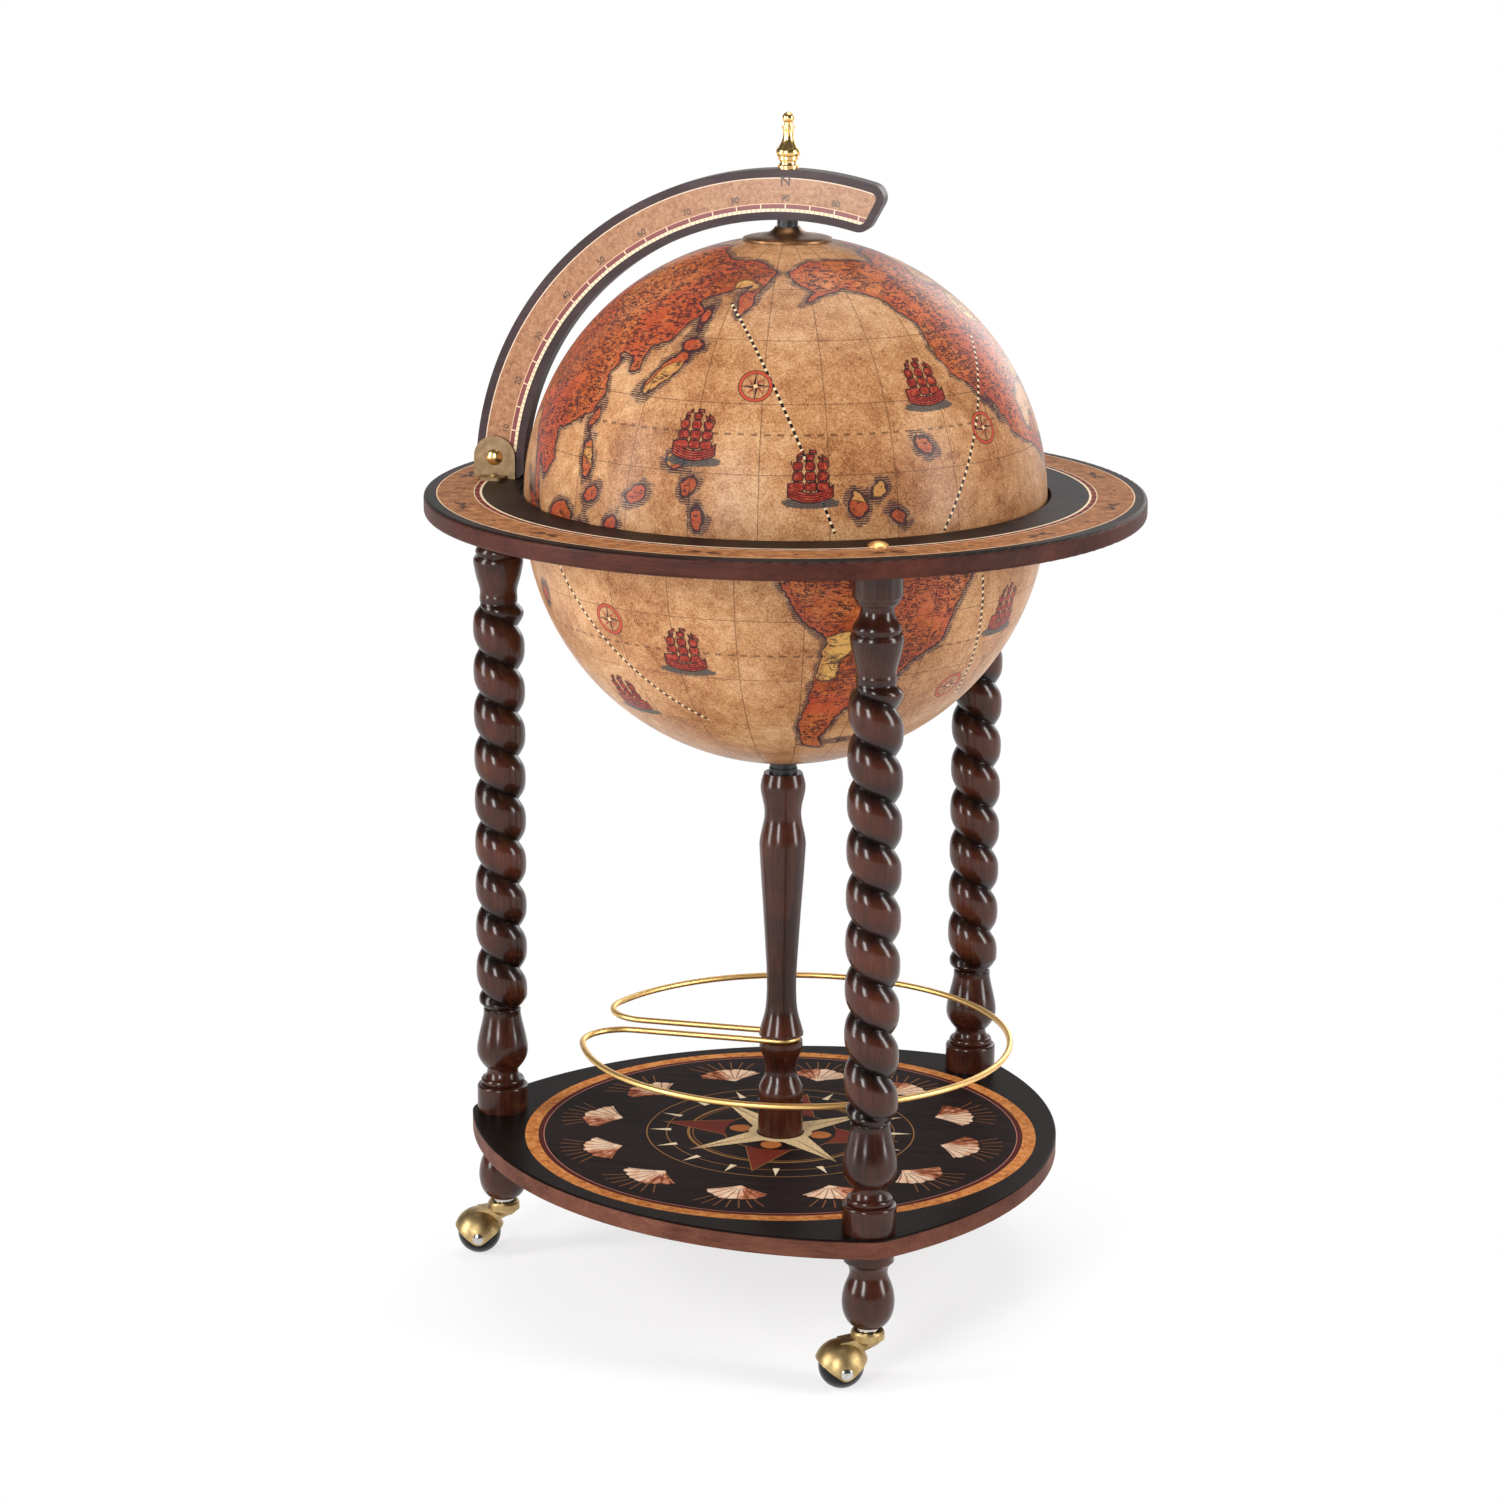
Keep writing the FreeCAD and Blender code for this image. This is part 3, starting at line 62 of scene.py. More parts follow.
# The photograph's camera: metres back from the bowl's centre and above it, angles, and focal length in pixels
IMAGE_SIZE = 1500
FOCAL_PIXELS = 4169.5
SENSOR = 36.0
CAMERA_BACK = 3.1416
CAMERA_UP = 0.5859
CAMERA_AZIMUTH = 13.2
CAMERA_YAW = -0.473
CAMERA_PITCH = 13.959
CAMERA_ROLL = 0.342


def srgb(red, green, blue):
    """A colour given as 0 to 255 screen values, as the linear value that a shader takes."""
    parts = []
    for value in (red, green, blue):
        share = value / 255
        parts.append(share / 12.92 if share <= 0.04045 else ((share + 0.055) / 1.055) ** 2.4)
    return (*parts, 1.0)


def plug(tree, socket, value):
    """Links a number or socket to a node's input, or sets a constant on it."""
    if isinstance(value, Num):
        value = value.socket
    if isinstance(value, bpy.types.NodeSocket):
        tree.links.new(value, socket)
    else:
        socket.default_value = value


def split(tree, socket):
    """The three numbers of a vector."""
    node = tree.nodes.new("ShaderNodeSeparateXYZ")
    tree.links.new(socket, node.inputs[0])
    return tuple(Num(tree, part) for part in node.outputs)


def scene_object(name, data):
    """A new object, put in the scene."""
    piece = bpy.data.objects.new(name, data)
    bpy.context.scene.collection.objects.link(piece)
    return piece


class Num:
    """A number that varies over a surface. Arithmetic on it adds the shader nodes that work it out."""

    def __init__(self, tree, socket):
        self.tree = tree
        self.socket = socket

    def math(self, operation, *others, clamp=False):
        node = self.tree.nodes.new("ShaderNodeMath")
        node.operation = operation
        node.use_clamp = clamp
        for socket, value in zip(node.inputs, (self,) + others):
            plug(self.tree, socket, value)
        return Num(self.tree, node.outputs[0])

    def __add__(self, other):
        return self.math("ADD", other)

    def __sub__(self, other):
        return self.math("SUBTRACT", other)

    def __mul__(self, other):
        return self.math("MULTIPLY", other)

    def __neg__(self):
        return self * -1.0

    def abs(self):
        return self.math("ABSOLUTE")

    def sin(self):
        return self.math("SINE")

    def diagonal(self, other):
        """Length of the diagonal over this number and another as sides."""
        return (self * self + other * other).math("SQRT")

    def bearing(self, other):
        """Angle in degrees of the point that is this number up and the other one across."""
        return self.math("ARCTAN2", other) * (1 / DEGREE)

    def least(self, other):
        return self.math("MINIMUM", other)

    def most(self, other):
        return self.math("MAXIMUM", other)

    def fold(self, period):
        """Distance to the nearest multiple of a period."""
        return self.math("PINGPONG", period / 2)

    def under(self, edge, soft=0.2):
        """1 where the number is below an edge, 0 above it, with a soft step."""
        return self.math("MULTIPLY_ADD", -1 / soft, edge / soft + 0.5, clamp=True)

    def over(self, edge, soft=0.2):
        """1 where the number is above an edge, 0 below it."""
        return self.math("MULTIPLY_ADD", 1 / soft, 0.5 - edge / soft, clamp=True)

    def between(self, low, high, soft=0.2):
        """1 where the number lies between two edges."""
        return (self - (low + high) / 2).abs().under((high - low) / 2, soft)

    def near(self, centre, half, soft=0.2):
        """1 where the number is less than half away from a centre."""
        return (self - centre).abs().under(half, soft)


# Numbers of a mix node's sockets for its share and its colours
MIX_SHARE, MIX_FIRST, MIX_SECOND, MIX_RESULT = 0, 6, 7, 2


class Paint:
    """A material under construction, with its coordinates in millimetres in the model's own frame."""

    def __init__(self, name):
        self.material = bpy.data.materials.new(name)
        self.material.use_nodes = True
        self.tree = self.material.node_tree
        self.shader = self.tree.nodes["Principled BSDF"]
        place = self.tree.nodes.new("ShaderNodeTexCoord")
        self.where = self.vector("MULTIPLY", place.outputs["Object"], (1 / MM, 1 / MM, 1 / MM)).outputs[0]
        self.x, self.y, self.z = split(self.tree, self.where)

    def vector(self, operation, first, second):
        node = self.tree.nodes.new("ShaderNodeVectorMath")
        node.operation = operation
        plug(self.tree, node.inputs[0], first)
        plug(self.tree, node.inputs[1], second)
        return node

    def dot(self, first, second):
        return Num(self.tree, self.vector("DOT_PRODUCT", first, second).outputs["Value"])

    def spaced(self, size, stretch):
        """The place, counted in steps of size millimetres times the stretch along each axis."""
        return self.vector("MULTIPLY", self.where, tuple(1 / (size * share) for share in stretch)).outputs[0]

    def noise(self, size, detail=3.0, roughness=0.55, stretch=(1, 1, 1), distortion=0.0):
        """Smooth noise from 0 to 1 whose blotches are about size millimetres across."""
        node = self.tree.nodes.new("ShaderNodeTexNoise")
        plug(self.tree, node.inputs["Vector"], self.spaced(size, stretch))
        for name, value in (("Scale", 1.0), ("Detail", detail), ("Roughness", roughness),
                            ("Distortion", distortion)):
            node.inputs[name].default_value = value
        return Num(self.tree, node.outputs[0])

    def cells(self, size, stretch=(1, 1, 1)):
        """Distance to the nearest of scattered points, as a share of size."""
        node = self.tree.nodes.new("ShaderNodeTexVoronoi")
        plug(self.tree, node.inputs["Vector"], self.spaced(size, stretch))
        for name in ("Scale", "Randomness"):
            node.inputs[name].default_value = 1.0
        return Num(self.tree, node.outputs["Distance"])

    def attribute(self, name):
        """A number stored on the mesh."""
        node = self.tree.nodes.new("ShaderNodeAttribute")
        node.attribute_name = name
        return Num(self.tree, node.outputs["Fac"])

    def mix(self, share, first, second):
        """A colour between two colours."""
        node = self.tree.nodes.new("ShaderNodeMix")
        node.data_type = "RGBA"
        plug(self.tree, node.inputs[MIX_SHARE], share)
        plug(self.tree, node.inputs[MIX_FIRST], first)
        plug(self.tree, node.inputs[MIX_SECOND], second)
        return node.outputs[MIX_RESULT]

    def ramp(self, share, *stops):
        """A colour along (position, linear colour) stops."""
        node = self.tree.nodes.new("ShaderNodeValToRGB")
        plug(self.tree, node.inputs[0], share)
        elements = node.color_ramp.elements
        while len(elements) < len(stops):
            elements.new(0.5)
        for element, (position, colour) in zip(elements, stops):
            element.position = position
            element.color = colour
        return node.outputs[0]

    def tones(self, share, stops):
        """A colour along (position, screen colour) stops."""
        return self.ramp(share, *((place, srgb(*colour)) for place, colour in stops))

    def bump(self, height, depth):
        """Raises the surface by height, in millimetres times depth."""
        node = self.tree.nodes.new("ShaderNodeBump")
        node.inputs["Strength"].default_value = 1.0
        node.inputs["Distance"].default_value = depth * MM
        plug(self.tree, node.inputs["Height"], height)
        self.tree.links.new(node.outputs[0], self.shader.inputs["Normal"])

    def polar(self):
        """Radius and angle in degrees about the upright axis."""
        return self.x.diagonal(self.y), self.y.bearing(self.x)

    def set(self, **values):
        """Gives the shader its inputs, named with _ for a space, and returns the material."""
        for name, value in values.items():
            plug(self.tree, self.shader.inputs[name.replace("_", " ")], value)
        return self.material


# Plain materials
LEG_TURN = 120
LEG_PLAIN_SHARE = 0.17
GRAIN_STRETCH = 14


def leg_axis_distance(paint):
    """Distance from the nearest leg's axis; the legs stand a third of a turn apart, one on the -X side."""
    low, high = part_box("leg_left")
    circle = -(low.x + high.x) / 2 / MM
    radius, angle = paint.polar()
    aside = (angle + LEG_TURN / 2).fold(LEG_TURN) * DEGREE
    outward = radius * aside.math("COSINE") - circle
    return outward.diagonal(radius * aside.sin())


def wood(name, tones, along, crest=None, gloss=0.34, coat=0.66, shine=0.08):
    """Stained and lacquered wood with long grain, pores and clouds; a crest shifts the tone by place, which
    on the legs' twist is partly painted shade.
    """
    paint = Paint(name)
    stretch = tuple(GRAIN_STRETCH if axis == along else 1 for axis in "xyz")
    grain = paint.noise(5.5, 5, 0.6, stretch, 0.8)
    pores = paint.noise(0.7, 2, 0.6, tuple(share * 2 for share in stretch))
    clouds = paint.noise(45, 2)
    tone = grain * 0.3 + clouds * 0.5 + pores * 0.25
    if crest:
        tone = tone + crest(paint)
    colour = paint.tones(tone, tones)
    paint.bump(pores * 0.6 + grain * 0.4, 0.02)
    return paint.set(Base_Color=colour, Roughness=pores * 0.12 + gloss, Specular_IOR_Level=shine,
                     Coat_Weight=coat, Coat_Roughness=0.17)


def leg_groove_stain_and_shade(paint):
    """Darker in the twist's grooves and paler on its crests: stain gathered in the grooves, with painted
    shade there too.
    """
    low, high = (corner.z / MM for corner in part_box("leg_left"))
    ends = (high - low) * LEG_PLAIN_SHARE
    twist = paint.z.between(low + ends, high - ends, 12)
    return (leg_axis_distance(paint) * 0.075 - 1.42) * twist


def column_crest(paint):
    """The column's thick turns are paler than its waists."""
    return (paint.polar()[0] * 0.03 - 0.42).least(0.06)


def board_crest(paint):
    """The top of the shelf is much darker than its edge."""
    return paint.z.over(SHELF_TOP - 1.2, 0.8) * -0.55


def ring_crest(paint):
    """The top of the ring is darker than its edge."""
    return paint.z.over(RING_TOP - 1.4, 1.0) * -0.36


WALNUT = ((0.15, (8, 3, 2)), (0.45, (39, 15, 8)), (0.7, (75, 35, 20)), (0.95, (118, 68, 44)))
EDGE = ((0.05, (22, 13, 10)), (0.35, (70, 41, 32)), (0.6, (107, 67, 54)), (0.9, (140, 98, 83)))
RIM = ((0.1, (13, 6, 4)), (0.45, (58, 27, 19)), (0.75, (92, 48, 36)), (0.95, (124, 74, 58)))
ARC = ((0.2, (40, 30, 31)), (0.55, (64, 49, 51)), (0.9, (92, 76, 76)))
LINER = ((0.2, (52, 22, 12)), (0.55, (104, 54, 28)), (0.9, (150, 90, 50)))


def metal(name, bright, dull, spread, rough, patina=0.0, size=9.0, wear=0.004):
    """Brass or steel with faint uneven polish; patina darkens it in patches, wear roughens it."""
    paint = Paint(name)
    cloud = paint.noise(size, 4, 0.6)
    scratch = paint.noise(0.6, 2, 0.5, (1, 1, 8))
    share = (cloud - 0.5 + patina).math("MULTIPLY_ADD", spread, 0.3, clamp=True)
    colour = paint.mix(share, srgb(*bright), srgb(*dull))
    paint.bump(scratch * 0.4 + cloud * 0.6, wear)
    return paint.set(Base_Color=colour, Metallic=1.0, Roughness=scratch * 0.1 + cloud * 0.08 + rough)


def plastic(name, colour, lift, rough, shine=0.45):
    """A moulded or rubber surface with fine grain and handling marks."""
    paint = Paint(name)
    grain = paint.noise(0.5, 2, 0.6)
    cloud = paint.noise(12, 3)
    tone = paint.mix(cloud, srgb(*colour), srgb(*lift))
    paint.bump(grain, 0.02)
    return paint.set(Base_Color=tone, Roughness=cloud * 0.15 + rough, Specular_IOR_Level=shine)


# Printed papers
def burl(paint, tones, size=7.0):
    """Mottled burl veneer: soft blotches with small dark eyes."""
    blotch = paint.noise(size, 6, 0.68, distortion=0.6)
    eyes = paint.cells(size * 0.32).under(0.3, 0.3) * paint.noise(size * 1.6, 2).over(0.5, 0.15)
    fibre = paint.noise(0.9, 3, 0.7)
    share = blotch * 0.75 + fibre * 0.3 - eyes * 0.14 - 0.02
    return paint.tones(share, tones)


ARC_PAPER = ((0.26, (98, 54, 28)), (0.42, (150, 97, 61)), (0.56, (175, 126, 86)), (0.78, (206, 162, 121)))
RING_PAPER = ((0.28, (82, 40, 20)), (0.42, (140, 86, 49)), (0.56, (172, 117, 73)), (0.76, (212, 156, 106)))
GOLD_BURL = ((0.28, (104, 48, 18)), (0.42, (184, 106, 50)), (0.56, (216, 144, 80)), (0.76, (238, 186, 124)))
SCALLOP = ((0.25, (112, 52, 30)), (0.42, (178, 104, 70)), (0.58, (228, 172, 138)), (0.78, (244, 214, 184)))
CREAM = srgb(238, 218, 182)
INK = srgb(44, 28, 26)
MATT = 0.58


def varnish(paint, colour, fibre_depth=0.02, shine=0.35, coat=0.25, rough=0.34):
    """Varnish over printed paper, from glossy to matt."""
    paint.bump(paint.noise(1.2, 3, 0.7), fibre_depth)
    return paint.set(Base_Color=colour, Roughness=rough, Specular_IOR_Level=shine, Coat_Weight=coat,
                     Coat_Roughness=0.16)


def leaf(u, v, length, width):
    """Negative inside a pointed leaf lying along u, from 0 to its length."""
    share = u * (1 / length)
    half = share * (share * -1 + 1) * (4 * width)
    return v.abs() - half


SPRIG_TURN = 30


def ring_marks(paint, radius, angle):
    """Small ink sprigs of leaves along the band, with a diamond between each two."""
    middle = RING_PRINT_R - RING_PRINT_W * 0.42
    along = angle.fold(SPRIG_TURN) * (DEGREE * middle)
    across = radius - middle
    sprig = leaf(along, across - along * 0.25, 15, 2.4).least(leaf(along, across + along * 0.3, 11, 1.9))
    beside = (angle + SPRIG_TURN / 2).fold(SPRIG_TURN) * (DEGREE * middle)
    star = beside.abs() + across.abs() - 2.4
    rough = paint.noise(1.3, 2) * 1.4 - 0.7
    return (sprig + rough).under(0.0, 0.5).most((star + rough).under(0.0, 0.5))


def horizon_paper():
    """The band let into the horizon ring: burl, a maroon scale at its inner edge, pale lines."""
    paint = Paint("horizon_paper")
    radius, angle = paint.polar()
    inner = RING_PRINT_R - RING_PRINT_W
    colour = burl(paint, RING_PAPER, 9.0)
    colour = paint.mix(ring_marks(paint, radius, angle) * 0.8, colour, INK)
    segment = (angle.fold(4) - 1).over(0.0, 0.1)
    scale = paint.mix(segment, srgb(96, 34, 30), srgb(142, 62, 50))
    for width, tone in ((6.4, CREAM), (5.7, scale), (1.9, CREAM)):
        colour = paint.mix(radius.under(inner + width, 0.3), colour, tone)
    colour = paint.mix(radius.over(RING_PRINT_R - 1.0, 0.3), colour, srgb(232, 196, 160))
    return varnish(paint, colour, shine=0.12, coat=0.0, rough=MATT)


def arc_paper():
    """The band on the meridian arc: speckled paper, with a maroon line and degrees at its inner edge."""
    paint = Paint("arc_paper")
    rise = paint.z - RING_TOP
    radius = paint.x.diagonal(rise)
    angle = rise.bearing(paint.x)
    inner = ARC_OUT_R - ARC_W + ARC_BORDER
    outer = ARC_OUT_R - ARC_BORDER
    colour = burl(paint, ARC_PAPER, 3.4)
    unit = DEGREE * inner
    ticks = (angle.fold(1) * unit).under(0.3, 0.25)
    bars = (angle.fold(5) * unit).under(0.4, 0.25)
    maroon = paint.mix(bars, srgb(128, 58, 58), CREAM)
    scale = paint.mix(ticks * 0.7, CREAM, srgb(150, 92, 66))
    for width, tone in ((6.3, srgb(224, 186, 150)), (5.7, maroon), (2.4, scale)):
        colour = paint.mix(radius.under(inner + width, 0.25), colour, tone)
    colour = paint.mix(radius.over(outer - 0.8, 0.3), colour, srgb(230, 205, 180))
    return varnish(paint, colour)


def star_share(radius, aside, tip, waist):
    """Below 1 inside a pointed star; aside is the angle from the nearest point, in radians."""
    half, depth = waist
    slope = (tip / depth - math.cos(half)) / math.sin(half)
    return radius * (aside.math("COSINE") + aside.sin() * slope) * (1 / tip)


def base_rose(paint, radius, angle, colour):
    """The wind rose round the column: pale diagonal points, red kites, spikes and thin gold rings."""
    gold = srgb(150, 108, 62)
    for ring, half in ((106, 0.5), (90.5, 0.4), (73, 1.1), (69.5, 0.35), (45, 0.4)):
        colour = paint.mix(radius.near(ring, half, 0.3), colour, gold)
    spikes = (angle + 11.25).fold(22.5) * DEGREE * radius
    reach = (-radius + 104) * 0.16
    colour = paint.mix((spikes - reach).under(0.0, 0.4) * radius.between(87, 104, 0.5), colour, CREAM)
    straight = angle.fold(90) * DEGREE
    kites = star_share(radius, straight, 95, (math.pi / 4, 34))
    clear = radius.over(44, 0.4)
    colour = paint.mix(kites.under(1.0, 0.01) * clear, colour, srgb(116, 46, 34))
    colour = paint.mix(kites.near(1.0, 0.012, 0.01) * clear, colour, gold)
    beads = (straight * radius).math("POWER", 2.0) + (radius - 33).math("POWER", 2.0)
    colour = paint.mix(beads.under(70, 8), colour, srgb(186, 112, 60))
    slanted = (angle + 45).fold(90)
    points = star_share(radius, slanted * DEGREE, 84, (math.pi / 4, 19)).under(1.0, 0.01)
    weave = paint.noise(1.4, 2)
    pale = paint.tones(weave, ((0.35, (196, 160, 112)), (0.6, (236, 212, 166))))
    colour = paint.mix(points, colour, pale)
    colour = paint.mix(slanted.under(0.9, 0.3) * points * 0.7, colour, srgb(120, 84, 52))
    return paint.mix(radius.under(25, 0.4), colour, srgb(222, 196, 150))


SHELL_SCALE = 1.5
SHELL_CIRCLE = 149.0
SHELL_TURN = 30.0


def base_shells(paint, radius, angle, colour):
    """Twelve scallop shells with a spray of lines, round the shelf."""
    foot = (radius - SHELL_CIRCLE) * (1 / SHELL_SCALE) + 13
    aside = (angle + SHELL_TURN / 2).math("FLOORED_MODULO", SHELL_TURN) - SHELL_TURN / 2
    v = aside * (DEGREE * SHELL_CIRCLE / SHELL_SCALE)
    spread = foot.diagonal(v)
    opening = v.math("ARCTAN2", foot)
    ribs = (opening.fold(0.26) * 7.6).math("COSINE")
    edge = spread - (ribs * 1.6 + paint.noise(9, 3) * 7 + 16)
    shell = edge.under(0.0, 0.5) * opening.abs().under(0.98, 0.03)
    tone = paint.noise(7, 4, 0.6) * 0.95 + ribs * 0.22 - v.over(3.0, 4.0) * 0.32 + 0.06
    fill = paint.tones(tone, SCALLOP)
    spray = (opening.fold(0.17) * spread).under(0.35, 0.3) * spread.between(22, 33, 0.8)
    spray = spray * opening.abs().under(0.62, 0.03)
    colour = paint.mix(spray, colour, srgb(128, 82, 50))
    colour = paint.mix(shell, colour, fill)
    ink = ((opening + 0.13).fold(0.26) * spread).under(0.32, 0.3) * shell * spread.over(5, 1)
    colour = paint.mix(ink * 0.75, colour, srgb(92, 44, 28))
    return paint.mix(edge.near(0.0, 0.35, 0.3) * opening.abs().under(1.0, 0.03), colour, srgb(70, 34, 24))


def base_paper():
    """The round print on the shelf."""
    paint = Paint("base_paper")
    radius, angle = paint.polar()
    ground = paint.noise(6, 5, 0.6, (9, 1, 1))
    colour = paint.tones(ground, ((0.3, (20, 13, 13)), (0.7, (42, 26, 24))))
    colour = base_shells(paint, radius, angle, colour)
    colour = base_rose(paint, radius, angle, colour)
    lines = ((15.2, srgb(196, 138, 120)), (14.6, srgb(86, 28, 26)), (11.4, srgb(40, 20, 16)))
    for width, tone in (*lines, (10.6, burl(paint, GOLD_BURL, 6.0))):
        colour = paint.mix(radius.over(BASE_PRINT_R - width, 0.3), colour, tone)
    return varnish(paint, colour, shine=0.04, coat=0.0, rough=MATT)


# The chart on the globe: coasts as listed (longitude, latitude) corners, islands as tilted ovals
EURASIA = [
    (104, 1), (100, 7), (98, 15), (94, 17), (91, 22), (87, 21), (80, 15), (78, 8), (73, 18), (67, 25),
    (57, 26), (59, 22), (52, 16), (44, 13), (39, 21), (34, 29), (36, 36), (28, 37), (26, 40), (23, 37),
    (19, 42), (14, 45), (18, 40), (16, 38), (11, 43), (4, 43), (0, 39), (-6, 36), (-9, 38), (-9, 43),
    (-2, 44), (-4, 48), (3, 51), (8, 54), (9, 57), (13, 54), (21, 55), (24, 59), (29, 60), (22, 62), (25, 65),
    (18, 62), (17, 57), (12, 57), (6, 58), (6, 62), (15, 68), (26, 71), (41, 67), (45, 68), (68, 68),
    (74, 73), (90, 75), (104, 77), (113, 74), (131, 71), (150, 71), (159, 69), (166, 66), (163, 63),
    (161, 60), (158, 58), (158, 55), (154, 51), (152, 57), (156, 61), (147, 59), (137, 55), (141, 52),
    (135, 44), (129, 41), (129, 36), (126, 35), (125, 39), (118, 39), (122, 37), (119, 34), (122, 30),
    (119, 25), (113, 22), (107, 20), (109, 13), (105, 9), (101, 13), (103, 4),
]
AFRICA = [
    (-17, 15), (-16, 22), (-10, 29), (-6, 36), (10, 37), (11, 33), (20, 31), (33, 31), (38, 20), (43, 12),
    (51, 12), (46, 3), (39, -6), (40, -15), (35, -20), (35, -25), (31, -30), (26, -34), (18, -35), (15, -27),
    (12, -17), (13, -6), (9, 1), (9, 4), (4, 6), (-8, 4), (-13, 9),
]
NORTH_AMERICA = [
    (-168, 66), (-156, 71), (-128, 70), (-112, 68), (-95, 72), (-82, 68), (-87, 64), (-94, 61), (-92, 57),
    (-82, 55), (-80, 51), (-77, 56), (-77, 62), (-65, 59), (-56, 53), (-60, 50), (-66, 50), (-60, 46),
    (-66, 44), (-70, 42), (-75, 39), (-76, 35), (-81, 31), (-80, 25), (-83, 29), (-90, 29), (-97, 27),
    (-97, 20), (-94, 18), (-90, 21), (-87, 21), (-89, 16), (-83, 15), (-83, 10), (-78, 9), (-83, 8),
    (-92, 14), (-104, 19), (-113, 31), (-109, 23), (-116, 31), (-121, 35), (-124, 42), (-123, 48), (-132, 56),
    (-144, 60), (-153, 58), (-163, 55), (-157, 59), (-165, 62),
]
# As old charts do, this one draws the northern continent too far west
WEST_SHIFT = 21
NORTH_AMERICA = [(longitude - WEST_SHIFT, latitude) for longitude, latitude in NORTH_AMERICA]
SOUTH_AMERICA = [
    (-81, -5), (-77, 2), (-77, 8), (-72, 12), (-62, 10), (-51, 4), (-48, -1), (-35, -6), (-39, -14),
    (-41, -22), (-48, -26), (-53, -34), (-62, -39), (-65, -43), (-68, -50), (-66, -55), (-73, -53),
    (-75, -46), (-73, -37), (-70, -19), (-76, -14),
]
GREENLAND = [
    (-45, 60), (-53, 67), (-58, 75), (-70, 78), (-58, 82), (-30, 83), (-18, 79), (-23, 71), (-39, 66),
]
AUSTRALIA = [
    (114, -22), (122, -17), (130, -13), (136, -12), (140, -17), (143, -11), (147, -19), (153, -26),
    (150, -37), (140, -38), (131, -32), (117, -35),
]
COASTS = (EURASIA, AFRICA, NORTH_AMERICA, SOUTH_AMERICA, GREENLAND, AUSTRALIA)
# Longitude, latitude, half length, half width in degrees, and tilt from east
ISLANDS = (
    (138, 36, 6, 1.8, 50), (143, 43, 2.4, 1.8, 0), (143, 50, 3.4, 0.9, 85), (121, 24, 1.9, 0.8, 75),
    (122, 15, 4, 1.6, 100), (125, 8, 2.2, 1.6, 30), (114, 1, 5, 3.8, 40), (121, -2, 3.6, 1.3, 70),
    (101, 0, 7.5, 1.6, 128), (110, -7, 5, 1, -6), (141, -5, 9, 2.6, -24), (47, -19, 6.6, 2.2, 70),
    (81, 7, 1.6, 1, 90), (175, -39, 4.2, 1.4, 120), (170, -44, 5, 1.3, 45), (146, -42, 1.8, 1.5, 0),
    (-2, 53, 4.4, 1.6, 105), (-8, 53, 1.9, 1.4, 90), (-18, 65, 3, 1.7, 0), (-79, 22, 4.6, 0.9, -16),
    (-71, 19, 2.7, 1, -5), (-56, 49, 2.6, 2, 30), (-73, 68, 9, 2.8, -40), (-110, 71, 5, 2.6, 0),
    (-85, 78, 6, 2.4, 40), (18, 79, 2.8, 2, 30), (57, 74, 5, 1.2, 60), (-59, -52, 1.6, 0.8, 0),
    (178, -17, 2.2, 1.6, 0), (-157, 20, 2.6, 1.7, -35), (166, -21, 3, 1.5, -40), (160, -9, 4, 1.6, -35),
    (150, 12, 2.4, 1.6, 60), (146, 17, 1.8, 1.5, 10), (152, 6, 2.2, 1.5, 100), (186, 9, 2.4, 1.6, 100),
    (191, 12, 2.0, 1.5, 30), (195, 6, 2.4, 1.6, 140), (-170, -14, 2.2, 1.5, 10), (-149, -17, 2.4, 1.6, 60),
    (-91, -1, 2, 1.5, 40), (137, 9, 2.6, 1.6, 30), (131, 2, 2.2, 1.6, 80),
)
SOUTH_LAND = -72.0


def on_ball(longitude, latitude):
    """Unit vectors of places given in degrees, one row each."""
    lon = np.radians(np.asarray(longitude, float))
    lat = np.radians(np.asarray(latitude, float))
    return np.stack([np.cos(lat) * np.cos(lon), np.cos(lat) * np.sin(lon), np.sin(lat)], -1)


def inside_outline(lon, lat, outline):
    """Which places lie inside an outline, by counting the sides that each one's meridian crosses."""
    corners = np.array(outline, float)
    middle = (corners[:, 0].min() + corners[:, 0].max()) / 2
    lon = (lon - middle + 180) % 360 - 180 + middle
    found = np.zeros(lon.shape, bool)
    for (x0, y0), (x1, y1) in zip(corners, np.roll(corners, -1, 0)):
        crosses = (x0 > lon) != (x1 > lon)
        if x0 != x1:
            found ^= crosses & (lat < y0 + (lon - x0) * (y1 - y0) / (x1 - x0))
    return found


def coast_distance(lon, lat):
    """Distance from the nearest coast in millimetres on the globe, positive on land."""
    spots = on_ball(lon, lat)
    best = np.radians(SOUTH_LAND - lat)
    for outline in COASTS:
        corners = on_ball(*np.array(outline, float).T)
        reach = np.full(len(spots), np.inf)
        for start, end in zip(corners, np.roll(corners, -1, 0)):
            side = end - start
            along = np.clip((spots - start) @ side / (side @ side), 0, 1)
            reach = np.minimum(reach, np.linalg.norm(spots - start - along[:, None] * side, axis=1))
        best = np.maximum(best, np.where(inside_outline(lon, lat, outline), reach, -reach))
    for east, north, length, width, tilt in ISLANDS:
        u = ((lon - east + 180) % 360 - 180) * np.cos(np.radians(north))
        v = lat - north
        turn = math.radians(tilt)
        p = (u * math.cos(turn) + v * math.sin(turn)) / length
        q = (v * math.cos(turn) - u * math.sin(turn)) / width
        best = np.maximum(best, np.radians((1 - np.hypot(p, q)) * width))
    return best * GLOBE_R


def arc(radius, centre, first, last, steps):
    """Points of an upright section's arc, as (radius, height), by latitude in degrees."""
    angles = np.radians(np.linspace(first, last, steps + 1))
    return [(radius * math.cos(angle), centre + radius * math.sin(angle)) for angle in angles]


SHARP_ANGLE = 35


